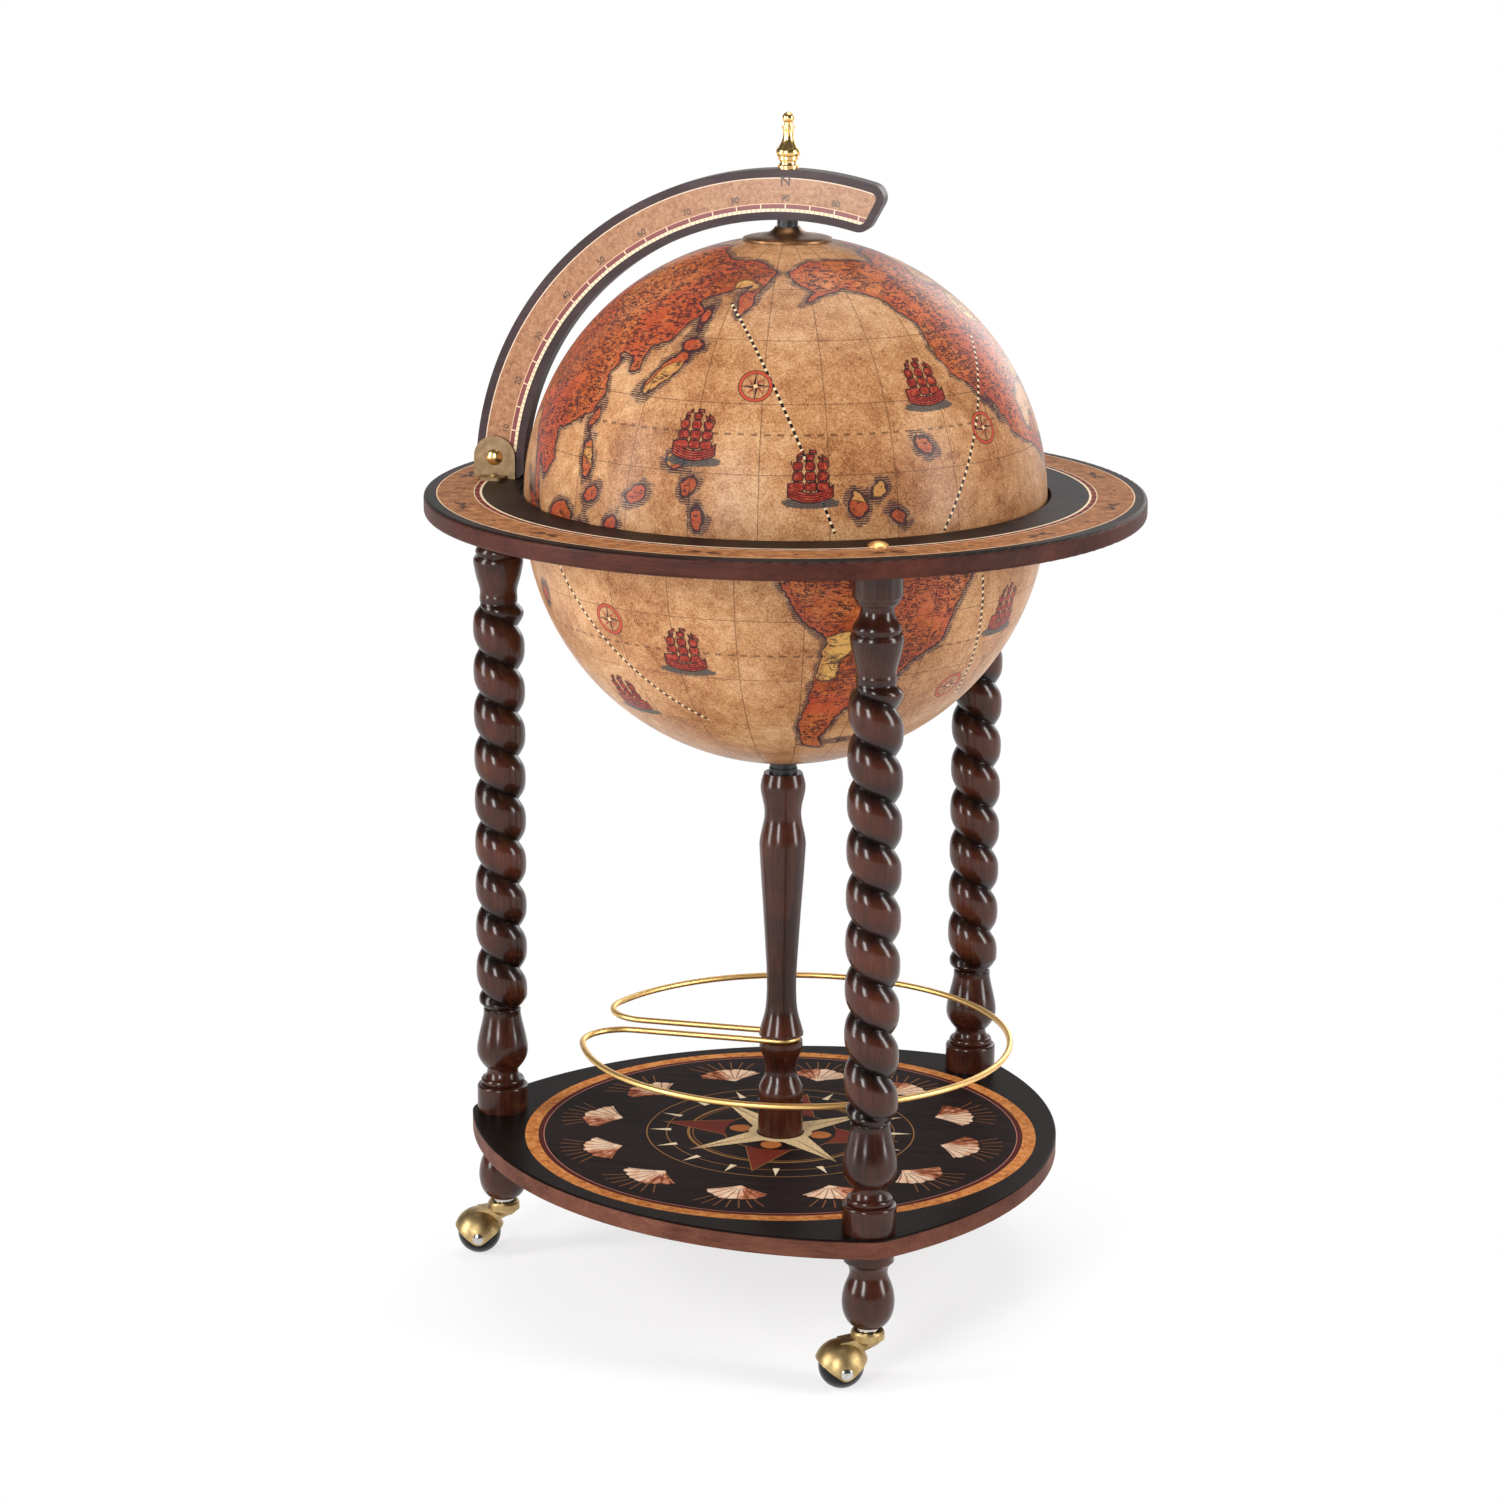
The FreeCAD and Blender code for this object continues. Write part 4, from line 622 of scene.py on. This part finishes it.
def lathe(name, outline, segments):
    """A closed mesh of revolution from (radius, height) points in millimetres, listed once round."""
    radius, height = np.array(outline).T
    angle = np.linspace(0, 2 * math.pi, segments, endpoint=False)
    ways = (radius, np.cos(angle)), (radius, np.sin(angle)), (height, np.ones(segments))
    spots = np.stack([np.outer(length, share) for length, share in ways], -1)
    low = np.arange(len(outline))[:, None] * segments
    high = np.roll(low, -1, 0)
    here = np.arange(segments)
    after = np.roll(here, -1)
    faces = np.stack([low + here, low + after, high + after, high + here], -1).reshape(-1, 4)
    mesh = bpy.data.meshes.new(name)
    mesh.from_pydata((spots.reshape(-1, 3) * MM).tolist(), [], faces.tolist())
    mesh.shade_smooth()
    mesh.set_sharp_from_angle(angle=math.radians(SHARP_ANGLE))
    return scene_object(name, mesh)


def chart(piece, centre_z, turn):
    """Stores each point's distance from the coast; turn is the longitude over the model's +X axis."""
    points = np.array([vertex.co for vertex in piece.data.vertices]) / MM
    points[:, 2] -= centre_z
    lat = np.degrees(np.arcsin(np.clip(points[:, 2] / np.linalg.norm(points, axis=1), -1, 1)))
    lon = np.degrees(np.arctan2(points[:, 1], points[:, 0])) + turn
    land = piece.data.attributes.new("land", "FLOAT", "POINT")
    land.data.foreach_set("value", coast_distance(lon, lat).astype(np.float32))


def tangent(longitude, latitude):
    """Unit vectors at a place on the ball: outward, east and north."""
    out = on_ball([longitude], [latitude])[0]
    east = np.cross((0, 0, 1), out)
    east /= np.linalg.norm(east)
    return tuple(out), tuple(east), tuple(np.cross(out, east))


FAR = 999


def nearest_place(paint, way, places, reach):
    """East and north distances in millimetres from whichever place is near, FAR where none is."""
    sums = None
    for longitude, latitude in places:
        out, east, north = tangent(longitude, latitude)
        close = paint.dot(way, out).over(math.cos(reach / GLOBE_R), 0.0005)
        here = [close * (paint.dot(way, axis) * GLOBE_R - FAR) for axis in (east, north)]
        sums = here if sums is None else [total + more for total, more in zip(sums, here)]
    return [total + FAR for total in sums]


def compass(paint, u, v, colour):
    """A rose with a red ring and two crossed stars."""
    radius = u.diagonal(v)
    angle = v.bearing(u)
    colour = paint.mix(radius.near(11.2, 1.0, 0.3), colour, srgb(178, 72, 52))
    colour = paint.mix(radius.near(12.5, 0.3, 0.25).most(radius.near(9.9, 0.25, 0.25)), colour, INK)
    for shift, tip, waist, tone in ((45, 8.6, 2.6, (132, 50, 40)), (0, 11.6, 2.4, (36, 24, 28))):
        star = star_share(radius, (angle + shift).fold(90) * DEGREE, tip, (math.pi / 4, waist))
        colour = paint.mix(star.under(1.0, 0.05), colour, srgb(*tone))
        half = ((angle + shift).math("FLOORED_MODULO", 90.0) - 45).over(0.0, 3.0)
        colour = paint.mix(star.under(0.9, 0.05) * half * 0.45, colour, srgb(214, 150, 108))
    return paint.mix(radius.under(1.5, 0.3), colour, srgb(226, 182, 134))


MAST_GAP = 9.0


def ship(paint, u, v, colour):
    """A three-masted ship in red and black inks, about 40 mm long, on a patch of dark water."""
    square = u * u
    ragged = paint.noise(3.2, 3, 0.6)
    water = square * (1 / 23 ** 2) + (v + 16).math("POWER", 2.0) * (1 / 4.6 ** 2) + ragged
    crests = (v + (u * 0.9).sin() * 0.6).fold(2.0).under(0.4, 0.3)
    waves = paint.mix(crests, srgb(58, 70, 72), srgb(28, 34, 42))
    colour = paint.mix(water.under(1.4, 0.15) * 0.85, colour, waves)
    mast_top = square * -0.045 + 19
    mast = u.fold(MAST_GAP)
    row = (v - 3.0).fold(7.4)
    sails = (mast + row * row * 0.1 + v * 0.06 - 4.1).most(row - 3.2).most(v - mast_top)
    sails = sails.most(-v - 7.5).most(u.abs() - 13.4)
    spars = (mast - 0.4).most(v - mast_top - 3).most(-v - 9).most(u.abs() - 11)
    flags = (u.math("FLOORED_MODULO", MAST_GAP) - 2.2).abs() - 2.2
    flags = flags.most((v - mast_top - 2.2 + (u * 1.4).sin() * 0.4).abs() - 1.0).most(u.abs() - 13.4)
    hull = (square * 0.016 - 16 - v).most(v - square * 0.022 + 9).most(u.abs() - 16.5)
    castle = ((u + 13).abs() - 3.6).most((v + 5.5).abs() - 3.5)
    rough = ragged * 1.3 - 0.65
    shapes = sails.least(spars).least(flags).least(hull).least(castle) + rough
    stain = paint.noise(3.0, 4, 0.7)
    red = paint.tones(stain, ((0.3, (92, 26, 22)), (0.5, (150, 50, 38)), (0.72, (192, 98, 68))))
    colour = paint.mix(shapes.under(0.0, 0.4), colour, red)
    rigging = (u.abs() * 1.5 + v - 20).abs().under(0.55, 0.3) * u.abs().under(17, 0.5) * 0.7
    planks = (v - square * 0.018).fold(1.8).under(0.4, 0.3) * hull.under(-0.4, 0.3)
    folds = u.fold(1.6).under(0.28, 0.25) * sails.under(-0.5, 0.3) * ragged.over(0.45, 0.1)
    ink = rigging.most(planks * 0.85).most(folds * 0.6).most(shapes.near(0.0, 0.5, 0.4) * 0.95)
    return paint.mix(ink, colour, srgb(30, 20, 26))


def route(paint, way, first, last, colour):
    """A dashed line along the great circle between two places, dark and pale by turns."""
    start, end = on_ball(*np.array([first, last], float).T)
    pole = np.cross(start, end)
    pole /= np.linalg.norm(pole)
    aside = paint.dot(way, tuple(pole)).abs() * GLOBE_R
    ahead = paint.dot(way, tuple(np.cross(pole, start)))
    along = ahead.math("ARCTAN2", paint.dot(way, tuple(start))) * GLOBE_R
    length = math.acos(start @ end) * GLOBE_R
    line = aside.under(1.05, 0.3) * along.between(0, length, 0.5)
    dash = (along.fold(5.6) - 1.7).over(0.0, 0.3)
    return paint.mix(line, colour, paint.mix(dash, srgb(26, 18, 22), srgb(226, 200, 160)))


SEA_TONES = ((0.27, (100, 55, 32)), (0.41, (150, 99, 62)), (0.54, (179, 130, 87)), (0.76, (212, 172, 131)))
LAND_TONES = ((0.27, (84, 33, 17)), (0.41, (142, 64, 33)), (0.54, (176, 91, 48)), (0.76, (206, 138, 86)))


def land_ink(paint, land, lat):
    """Share of ink: coast lines, shading off the shore, hills, rivers and lines of small marks."""
    north = lat * (DEGREE * GLOBE_R)
    breath = paint.noise(9, 3)
    shore = (land + paint.noise(2.0, 3) * 1.6 - 0.8).near(-0.2, 0.9, 0.5)
    rows = north.fold(1.7).under(0.5, 0.3)
    hatch = rows * (land + breath * 7 - 3.5).between(-3.8, 0.2, 0.8) * breath.over(0.42, 0.1)
    rivers = (paint.noise(30, 3, 0.5) - 0.5).abs().under(0.006, 0.006) * land.over(5, 3)
    peaks = paint.cells(6.0, (1, 1, 0.6))
    hills = peaks.near(0.36, 0.07, 0.06) * paint.noise(30, 3).over(0.5, 0.06) * land.over(3, 1)
    strokes = paint.noise(2.2, 2, 0.5, (2.4, 2.4, 0.6)).over(0.55, 0.04) * paint.noise(22, 2).over(0.42, 0.06)
    strokes = strokes * land.over(2, 1)
    writing = north.fold(8.0).under(0.95, 0.3) * paint.noise(1.0, 1).over(0.52, 0.05)
    writing = writing * paint.noise(13, 1).over(0.56, 0.03) * land.over(6, 1)
    ink = shore.most(hatch).most(rivers * 0.9).most(hills).most(strokes * 0.9).most(writing)
    return ink * (paint.noise(2.2, 2) + 0.65).least(1.0)


NET_TURN = 15
TROPIC = 23.4
ROSE_REACH = 14
SHIP_REACH = 30


def globe_print(name, centre_z, turn, routes, roses, ships):
    """An old chart: parchment sea, orange land with inked coasts, a net of degrees, routes, roses, ships."""
    paint = Paint(name)
    out = paint.vector("SUBTRACT", paint.where, (0, 0, centre_z)).outputs[0]
    spin = paint.tree.nodes.new("ShaderNodeVectorRotate")
    spin.rotation_type = "Z_AXIS"
    spin.inputs["Angle"].default_value = math.radians(turn)
    plug(paint.tree, spin.inputs["Vector"], out)
    way = paint.vector("NORMALIZE", spin.outputs[0], (0, 0, 0)).outputs[0]
    x, y, z = split(paint.tree, way)
    lat = z.math("ARCSINE") * (1 / DEGREE)
    lon = y.bearing(x)
    shrink = x.diagonal(y)
    unit = DEGREE * GLOBE_R

    land = paint.attribute("land") + (paint.noise(24, 3) - 0.5) * 9 + (paint.noise(6, 3) - 0.5) * 4
    mottle = paint.noise(13, 6, 0.72, distortion=0.6)
    fleck = paint.noise(1.5, 4, 0.75)
    age = paint.noise(70, 3)
    tone = mottle * 0.55 + fleck * 0.8 + age * 0.55 - 0.43
    sea = paint.tones(tone, SEA_TONES)
    ground = paint.tones(tone, LAND_TONES)
    region = paint.noise(62, 1)
    ground = paint.mix(region.over(0.62, 0.01) * 0.8, ground, srgb(206, 164, 92))
    ground = paint.mix(region.under(0.43, 0.03) * 0.45, ground, srgb(180, 76, 52))
    border = region.near(0.62, 0.006, 0.006) * land.over(1, 1)
    colour = paint.mix(land.over(0.0, 0.5), sea, ground)
    colour = paint.mix(land.between(0.0, 5.0, 3.0) * 0.35, colour, srgb(146, 56, 44))
    colour = paint.mix(land.between(-4.0, 0.0, 3.0) * 0.3, colour, srgb(96, 84, 84))

    meridians = (lon.fold(NET_TURN) * shrink * unit).under(0.36, 0.25)
    net = meridians.most((lat.fold(NET_TURN) * unit).under(0.32, 0.25))
    tropic = (lat.abs() - TROPIC).abs() * unit
    net = net.most(tropic.under(0.9, 0.2) * (lon.fold(3) - 0.75).over(0.0, 0.1))
    colour = paint.mix(net * 0.65, colour, srgb(70, 42, 30))
    colour = paint.mix(border * 0.8, colour, srgb(74, 44, 30))
    colour = paint.mix(land_ink(paint, land, lat) * 0.9, colour, srgb(38, 28, 38))
    for first, last in routes:
        colour = route(paint, way, first, last, colour)
    colour = compass(paint, *nearest_place(paint, way, roses, ROSE_REACH), colour)
    colour = ship(paint, *nearest_place(paint, way, ships, SHIP_REACH), colour)
    crackle = paint.noise(3.0, 5, 0.7)
    colour = paint.mix(crackle.under(0.4, 0.1) * 0.22, colour, srgb(96, 52, 30))
    return varnish(paint, colour, 0.03, 0.16, 0.03)


# The two halves of the globe, drawn again with enough points to carry the chart
POLE_FLAT = 0.4
DOME_HOLE_R = 8.05
DOME_PAD_R = 18.0
DOME_PAD_DROP = 1.2
BOWL_HOLE_R = 6.0
HUB_R = 30.0
HUB_DROP = 190.0
CLEAT_W = 9.0
CLEAT_DROPS = (46.0, 156.0)
SHELL_STEPS = 90
SHELL_SEGMENTS = 360
LINING_DEPTH = 1.0


def dome_outline():
    """Once round the section of the dome's wall, as (radius, height)."""
    inner = GLOBE_R - SHELL_T
    flat = GLOBE_R - POLE_FLAT
    pad = inner - DOME_PAD_DROP
    return (
        arc(GLOBE_R, LID_Z, 0, math.degrees(math.asin(flat / GLOBE_R)), SHELL_STEPS)
        + [(DOME_HOLE_R, LID_Z + flat), (DOME_HOLE_R, LID_Z + pad), (DOME_PAD_R, LID_Z + pad)]
        + arc(inner, LID_Z, math.degrees(math.acos(DOME_PAD_R / inner)), 0, SHELL_STEPS // 2)
    )


def bowl_outline():
    """Once round the section of the bowl's wall, with its two cleats and its hub."""
    inner = GLOBE_R - SHELL_T
    flat = GLOBE_R - POLE_FLAT
    spots = [(BOWL_HOLE_R, BOWL_Z - flat)]
    spots += arc(GLOBE_R, BOWL_Z, -math.degrees(math.asin(flat / GLOBE_R)), 0, SHELL_STEPS)
    start = 0.0
    for drop in CLEAT_DROPS:
        spots += arc(inner, BOWL_Z, start, -math.degrees(math.asin(drop / inner)), SHELL_STEPS // 5)
        lip = spots[-1][0] - CLEAT_W
        spots.append((lip, BOWL_Z - drop))
        start = -math.degrees(math.acos(lip / inner))
    spots += arc(inner, BOWL_Z, start, -math.degrees(math.acos(HUB_R / inner)), SHELL_STEPS // 9)
    return spots + [(HUB_R, BOWL_Z - HUB_DROP), (BOWL_HOLE_R, BOWL_Z - HUB_DROP)]


def half_globe(name, outline, centre_z, turn, skin, lining, node, body):
    """A shell with the chart outside and wood inside, standing for its CAD node."""
    piece = lathe(name, outline, SHELL_SEGMENTS)
    chart(piece, centre_z, turn)
    piece.data.materials.append(skin)
    piece.data.materials.append(lining)
    middles = np.array([face.center for face in piece.data.polygons]) / MM - (0, 0, centre_z)
    inside = np.linalg.norm(middles, axis=1) < GLOBE_R - LINING_DEPTH
    piece.data.polygons.foreach_set("material_index", inside.astype(np.int32))
    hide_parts(node)
    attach(piece, body)


# Figures on the meridian band; a capital's height is a share of the type's size
CAPITAL_SHARE = 0.72
FIGURE_BOLD = 0.02
FIGURE_STEP = 10
FIGURE_TALL = 4.8
FIGURE_R = ARC_OUT_R - ARC_W * 0.62
LETTER_R = ARC_OUT_R - ARC_W * 0.32
FIGURE_LIFT = 0.06


def figure(name, text, degrees, radius, tall, side, ink):
    """A short text on one face of the arc, its top outward; side is -1 for the front and 1 for the back."""
    letters = bpy.data.curves.new(name, "FONT")
    letters.body = text
    letters.size = tall * MM / CAPITAL_SHARE
    letters.align_x = "CENTER"
    letters.offset = tall * MM * FIGURE_BOLD
    letters.resolution_u = 6
    source = scene_object(name + "_source", letters)
    bpy.context.view_layer.update()
    mesh = bpy.data.meshes.new_from_object(source.evaluated_get(bpy.context.evaluated_depsgraph_get()))
    bpy.data.objects.remove(source)
    angle = math.radians(degrees)
    up = Vector((-math.cos(angle), 0, math.sin(angle)))
    out = Vector((0, side, 0))
    right = up.cross(out)
    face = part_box("meridian_print_front")[0].y if side < 0 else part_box("meridian_print_back")[1].y
    spot = up * (radius * MM) + Vector((0, face + side * FIGURE_LIFT * MM, RING_TOP * MM))
    place = Matrix((right, up, out)).transposed().to_4x4()
    place.translation = spot
    mesh.transform(place)
    mesh.materials.clear()
    mesh.materials.append(ink)
    piece = scene_object(name, mesh)
    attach(piece, "meridian")


def figures(ink):
    """Degrees from the hinge up to 90 and one step down again, and an N over the pole, on both faces."""
    for side, where in ((-1, "front"), (1, "back")):
        for step in range(1, 11):
            text = str(FIGURE_STEP * (step if step < 10 else 18 - step))
            figure(f"degree_{where}_{step}", text, FIGURE_STEP * step, FIGURE_R, FIGURE_TALL, side, ink)
        figure(f"north_{where}", "N", 90.0, LETTER_R, FIGURE_TALL * 1.6, side, ink)


def ink_material():
    """The figures' worn ink."""
    paint = Paint("figure_ink")
    worn = paint.noise(1.5, 4, 0.7)
    colour = paint.tones(worn, ((0.3, (40, 26, 24)), (0.75, (92, 60, 44))))
    return varnish(paint, colour)


# How each half of the globe is turned, and the longitudes and latitudes of what is drawn on its sea
DOME_TURN = 247.5
DOME_ROUTES = (((150, 55), (181, 3)), ((206, 2), (238, 42)))
DOME_ROSES = ((163, 34), (222, 22))
DOME_SHIPS = ((176, 14), (207, 33), (150, 22))
BOWL_TURN = -2.5
BOWL_ROUTES = (((-140, -4), (-102, -44)), ((-32, -8), (-22, -40)))
BOWL_ROSES = ((-122, -18), (-30, -36))
BOWL_SHIPS = ((-103, -24), (-128, -40), (-20, -18))

# Everything gets its finish
liner = wood("liner_veneer", LINER, "x", gloss=0.32, coat=0.12)
dome_chart = globe_print("dome_chart", LID_Z, DOME_TURN, DOME_ROUTES, DOME_ROSES, DOME_SHIPS)
bowl_chart = globe_print("bowl_chart", BOWL_Z, BOWL_TURN, BOWL_ROUTES, BOWL_ROSES, BOWL_SHIPS)
half_globe("dome_globe", dome_outline(), LID_Z, DOME_TURN, dome_chart, liner, "dome_shell", "dome")
half_globe("bowl_globe", bowl_outline(), BOWL_Z, BOWL_TURN, bowl_chart, liner, "bowl_shell", "bowl")
figures(ink_material())

walnut_leg = wood("walnut_legs", WALNUT, "z", leg_groove_stain_and_shade)
walnut_column = wood("walnut_column", WALNUT, "z", column_crest)
board = wood("board_lacquer", EDGE, "x", board_crest, gloss=0.4, coat=0.03, shine=0.03)
ring = wood("ring_lacquer", RIM, "x", ring_crest, gloss=0.46, coat=0.03, shine=0.14)
arc_wood = wood("arc_lacquer", ARC, "x", gloss=0.38, coat=0.08, shine=0.15)
antique = metal("antique_brass", (212, 184, 130), (134, 110, 72), 1.8, 0.34, 0.1, 7.0)
polished = metal("polished_brass", (255, 216, 146), (230, 176, 100), 1.4, 0.16, wear=0.001)
wire = metal("rail_brass", (255, 214, 140), (234, 184, 112), 1.2, 0.32)
chrome = metal("bright_steel", (216, 214, 210), (168, 166, 164), 1.2, 0.1)
fastener = metal("plain_steel", (176, 176, 178), (120, 118, 116), 1.4, 0.3)
black = plastic("black_wheel", (7, 7, 8), (18, 17, 17), 0.16, 0.25)
bush = plastic("black_bush", (16, 15, 15), (34, 31, 30), 0.32)
cup = plastic("cup_plastic", (40, 24, 18), (70, 44, 34), 0.24)
bronze = metal("bronze_cap", (158, 120, 84), (92, 64, 44), 1.6, 0.3, 0.1, 8.0)
plate = metal("hinge_plate", (154, 130, 100), (112, 92, 66), 1.8, 0.42, 0.05, 6.0)
# The longest matching start of a piece's name decides its finish
FINISHES = {
    "leg_": walnut_leg, "foot_": walnut_leg, "center_column": walnut_column, "base_board": board,
    "base_print": base_paper(), "horizon_ring": ring, "horizon_print": horizon_paper(),
    "meridian_arc": arc_wood, "meridian_print": arc_paper(),
    "foot_bolts": fastener, "caster_sockets": chrome, "column_screw": fastener, "column_bush": bush,
    "thrust_washer": bush, "bowl_spindle": fastener, "bowl_nut": fastener, "bottle_rail": wire,
    "ring_bolts": fastener, "ring_cap_nuts": wire, "ring_flush_nut": antique, "hinge_cheek": plate,
    "hinge_bolt": polished, "hinge_nut": polished, "hinge_screws": antique, "finial": polished,
    "pole_pin": fastener, "pole_spacer": bush, "pole_nut": fastener, "pole_cap": bronze, "pole_bushing": bush,
    "dome_hoop": liner, "bowl_collar": bush, "bar_tray": liner, "bottle_floor": liner, "glass_cups": cup,
    "caster_hood": antique, "caster_stem": chrome, "caster_axle": chrome, "caster_wheel": black,
    "dome_shell": liner, "bowl_shell": liner,
}
for name, piece in nodes.items():
    match = max((start for start in FINISHES if name.startswith(start)), key=len)
    for place in piece.material_slots:
        place.material = FINISHES[match]


# Camera, floor and light
def photo_camera():
    """The camera of the photograph, from its fitted place and angles."""
    yaw, pitch, roll = (math.radians(value) for value in (CAMERA_YAW, CAMERA_PITCH, CAMERA_ROLL))
    ahead = Vector((math.sin(yaw) * math.cos(pitch), math.cos(yaw) * math.cos(pitch), -math.sin(pitch)))
    level = Vector((math.cos(yaw), -math.sin(yaw), 0))
    above = level.cross(ahead)
    right = level * math.cos(roll) + above * math.sin(roll)
    up = above * math.cos(roll) - level * math.sin(roll)
    place = Matrix((right, up, -ahead)).transposed().to_4x4()
    place.translation = Vector((0, -CAMERA_BACK, CAMERA_UP))
    lens = bpy.data.cameras.new("photo_camera")
    lens.sensor_width = SENSOR
    lens.lens = FOCAL_PIXELS * SENSOR / IMAGE_SIZE
    camera = scene_object("photo_camera", lens)
    centre = Matrix.Translation((0, 0, BOWL_Z * MM))
    camera.matrix_world = centre @ Matrix.Rotation(math.radians(CAMERA_AZIMUTH), 4, "Z") @ place
    bpy.context.scene.camera = camera


# Half the floor's width in metres; the radius where its shadow starts to fade and the width of the fade, in
# millimetres; the share of glow in the floor under the object and the strength of that glow
FLOOR_HALF = 12.0
FADE_START = 220
FADE_WIDTH = 280
GLOW_SHARE = 0.57
GLOW_STRENGTH = 1.14
FLOOR_TONES = ((0.3, (0.9, 0.9, 0.9, 1)), (0.7, (0.92, 0.92, 0.92, 1)))


def floor():
    """A wide pale floor that keeps the object's shadow and runs out to plain white."""
    corners = [(x * FLOOR_HALF, y * FLOOR_HALF, 0) for x, y in ((-1, -1), (1, -1), (1, 1), (-1, 1))]
    mesh = bpy.data.meshes.new("floor")
    mesh.from_pydata(corners, [], [(0, 1, 2, 3)])
    piece = scene_object("floor", mesh)
    paint = Paint("pale_floor")
    tree = paint.tree
    grain = paint.noise(30, 3)
    tree.nodes.remove(paint.shader)
    lit = tree.nodes.new("ShaderNodeBsdfDiffuse")
    plug(tree, lit.inputs["Color"], paint.ramp(grain, *FLOOR_TONES))
    glow = tree.nodes.new("ShaderNodeEmission")
    radius = paint.polar()[0]
    far = (radius - FADE_START).math("MULTIPLY_ADD", 1 / FADE_WIDTH, 0.0, clamp=True)
    path = tree.nodes.new("ShaderNodeLightPath")
    seen = Num(tree, path.outputs["Is Camera Ray"])
    for ray in ("Is Glossy Ray", "Is Transmission Ray"):
        seen = seen.most(Num(tree, path.outputs[ray]))
    plug(tree, glow.inputs["Strength"], far * (1 - GLOW_STRENGTH) + GLOW_STRENGTH)
    mixed = tree.nodes.new("ShaderNodeMixShader")
    plug(tree, mixed.inputs[0], seen * (far * (1 - GLOW_SHARE) + GLOW_SHARE))
    tree.links.new(lit.outputs[0], mixed.inputs[1])
    tree.links.new(glow.outputs[0], mixed.inputs[2])
    tree.links.new(mixed.outputs[0], tree.nodes["Material Output"].inputs["Surface"])
    mesh.materials.append(paint.material)


# Strength of the even light, and of the dim room in front of the object that mirrored rays see; then the
# slope and start of the change from that room to the white behind, along the part of a ray that points back
SKY_LIGHT = 0.28
ROOM_LIGHT = 0.04
BEHIND_SLOPE = 1.6
BEHIND_START = -0.6


def sky():
    """Plain white to look at, with an even light; mirrored rays see white behind and a dim room in front."""
    world = bpy.data.worlds.new("studio")
    bpy.context.scene.world = world
    world.use_nodes = True
    tree = world.node_tree
    path = tree.nodes.new("ShaderNodeLightPath")
    seen = Num(tree, path.outputs["Is Camera Ray"]).most(Num(tree, path.outputs["Is Transmission Ray"]))
    glossy = Num(tree, path.outputs["Is Glossy Ray"])
    way = split(tree, tree.nodes.new("ShaderNodeTexCoord").outputs["Generated"])
    behind = way[1].math("MULTIPLY_ADD", BEHIND_SLOPE, BEHIND_START, clamp=True)
    tree.nodes["Background"].inputs["Color"].default_value = (1, 1, 1, 1)
    room = behind + (ROOM_LIGHT - SKY_LIGHT)
    strength = seen * (1 - SKY_LIGHT) + glossy * room + SKY_LIGHT
    plug(tree, tree.nodes["Background"].inputs["Strength"], strength)


# Name, place, height of the point it faces, size, all in metres, and watts of each lamp
SOFTBOXES = (
    ("key", (-0.5, -2.9, 1.3), 0.55, (0.55, 1.6), 50),
    ("left", (-2.4, -1.5, 1.2), 0.55, (0.7, 2.0), 54),
    ("right", (2.8, -0.3, 1.2), 0.55, (0.7, 2.0), 54),
    ("rim", (1.0, 3.1, 1.6), 0.7, (1.6, 1.8), 24),
    ("top", (0.2, 0.3, 2.9), 0.6, (1.8, 1.8), 30),
)


def softbox(name, place, aim, size, power):
    """A lamp with a white rectangular face, turned to a point above the object's middle."""
    lamp = bpy.data.lights.new(name, "AREA")
    lamp.shape = "RECTANGLE"
    lamp.size, lamp.size_y = size
    lamp.energy = power
    piece = scene_object(name, lamp)
    piece.location = place
    piece.rotation_euler = (Vector((0, 0, aim)) - Vector(place)).to_track_quat("-Z", "Y").to_euler()


photo_camera()
floor()
sky()
for row in SOFTBOXES:
    softbox(*row)
bpy.context.scene.view_settings.view_transform = "Standard"
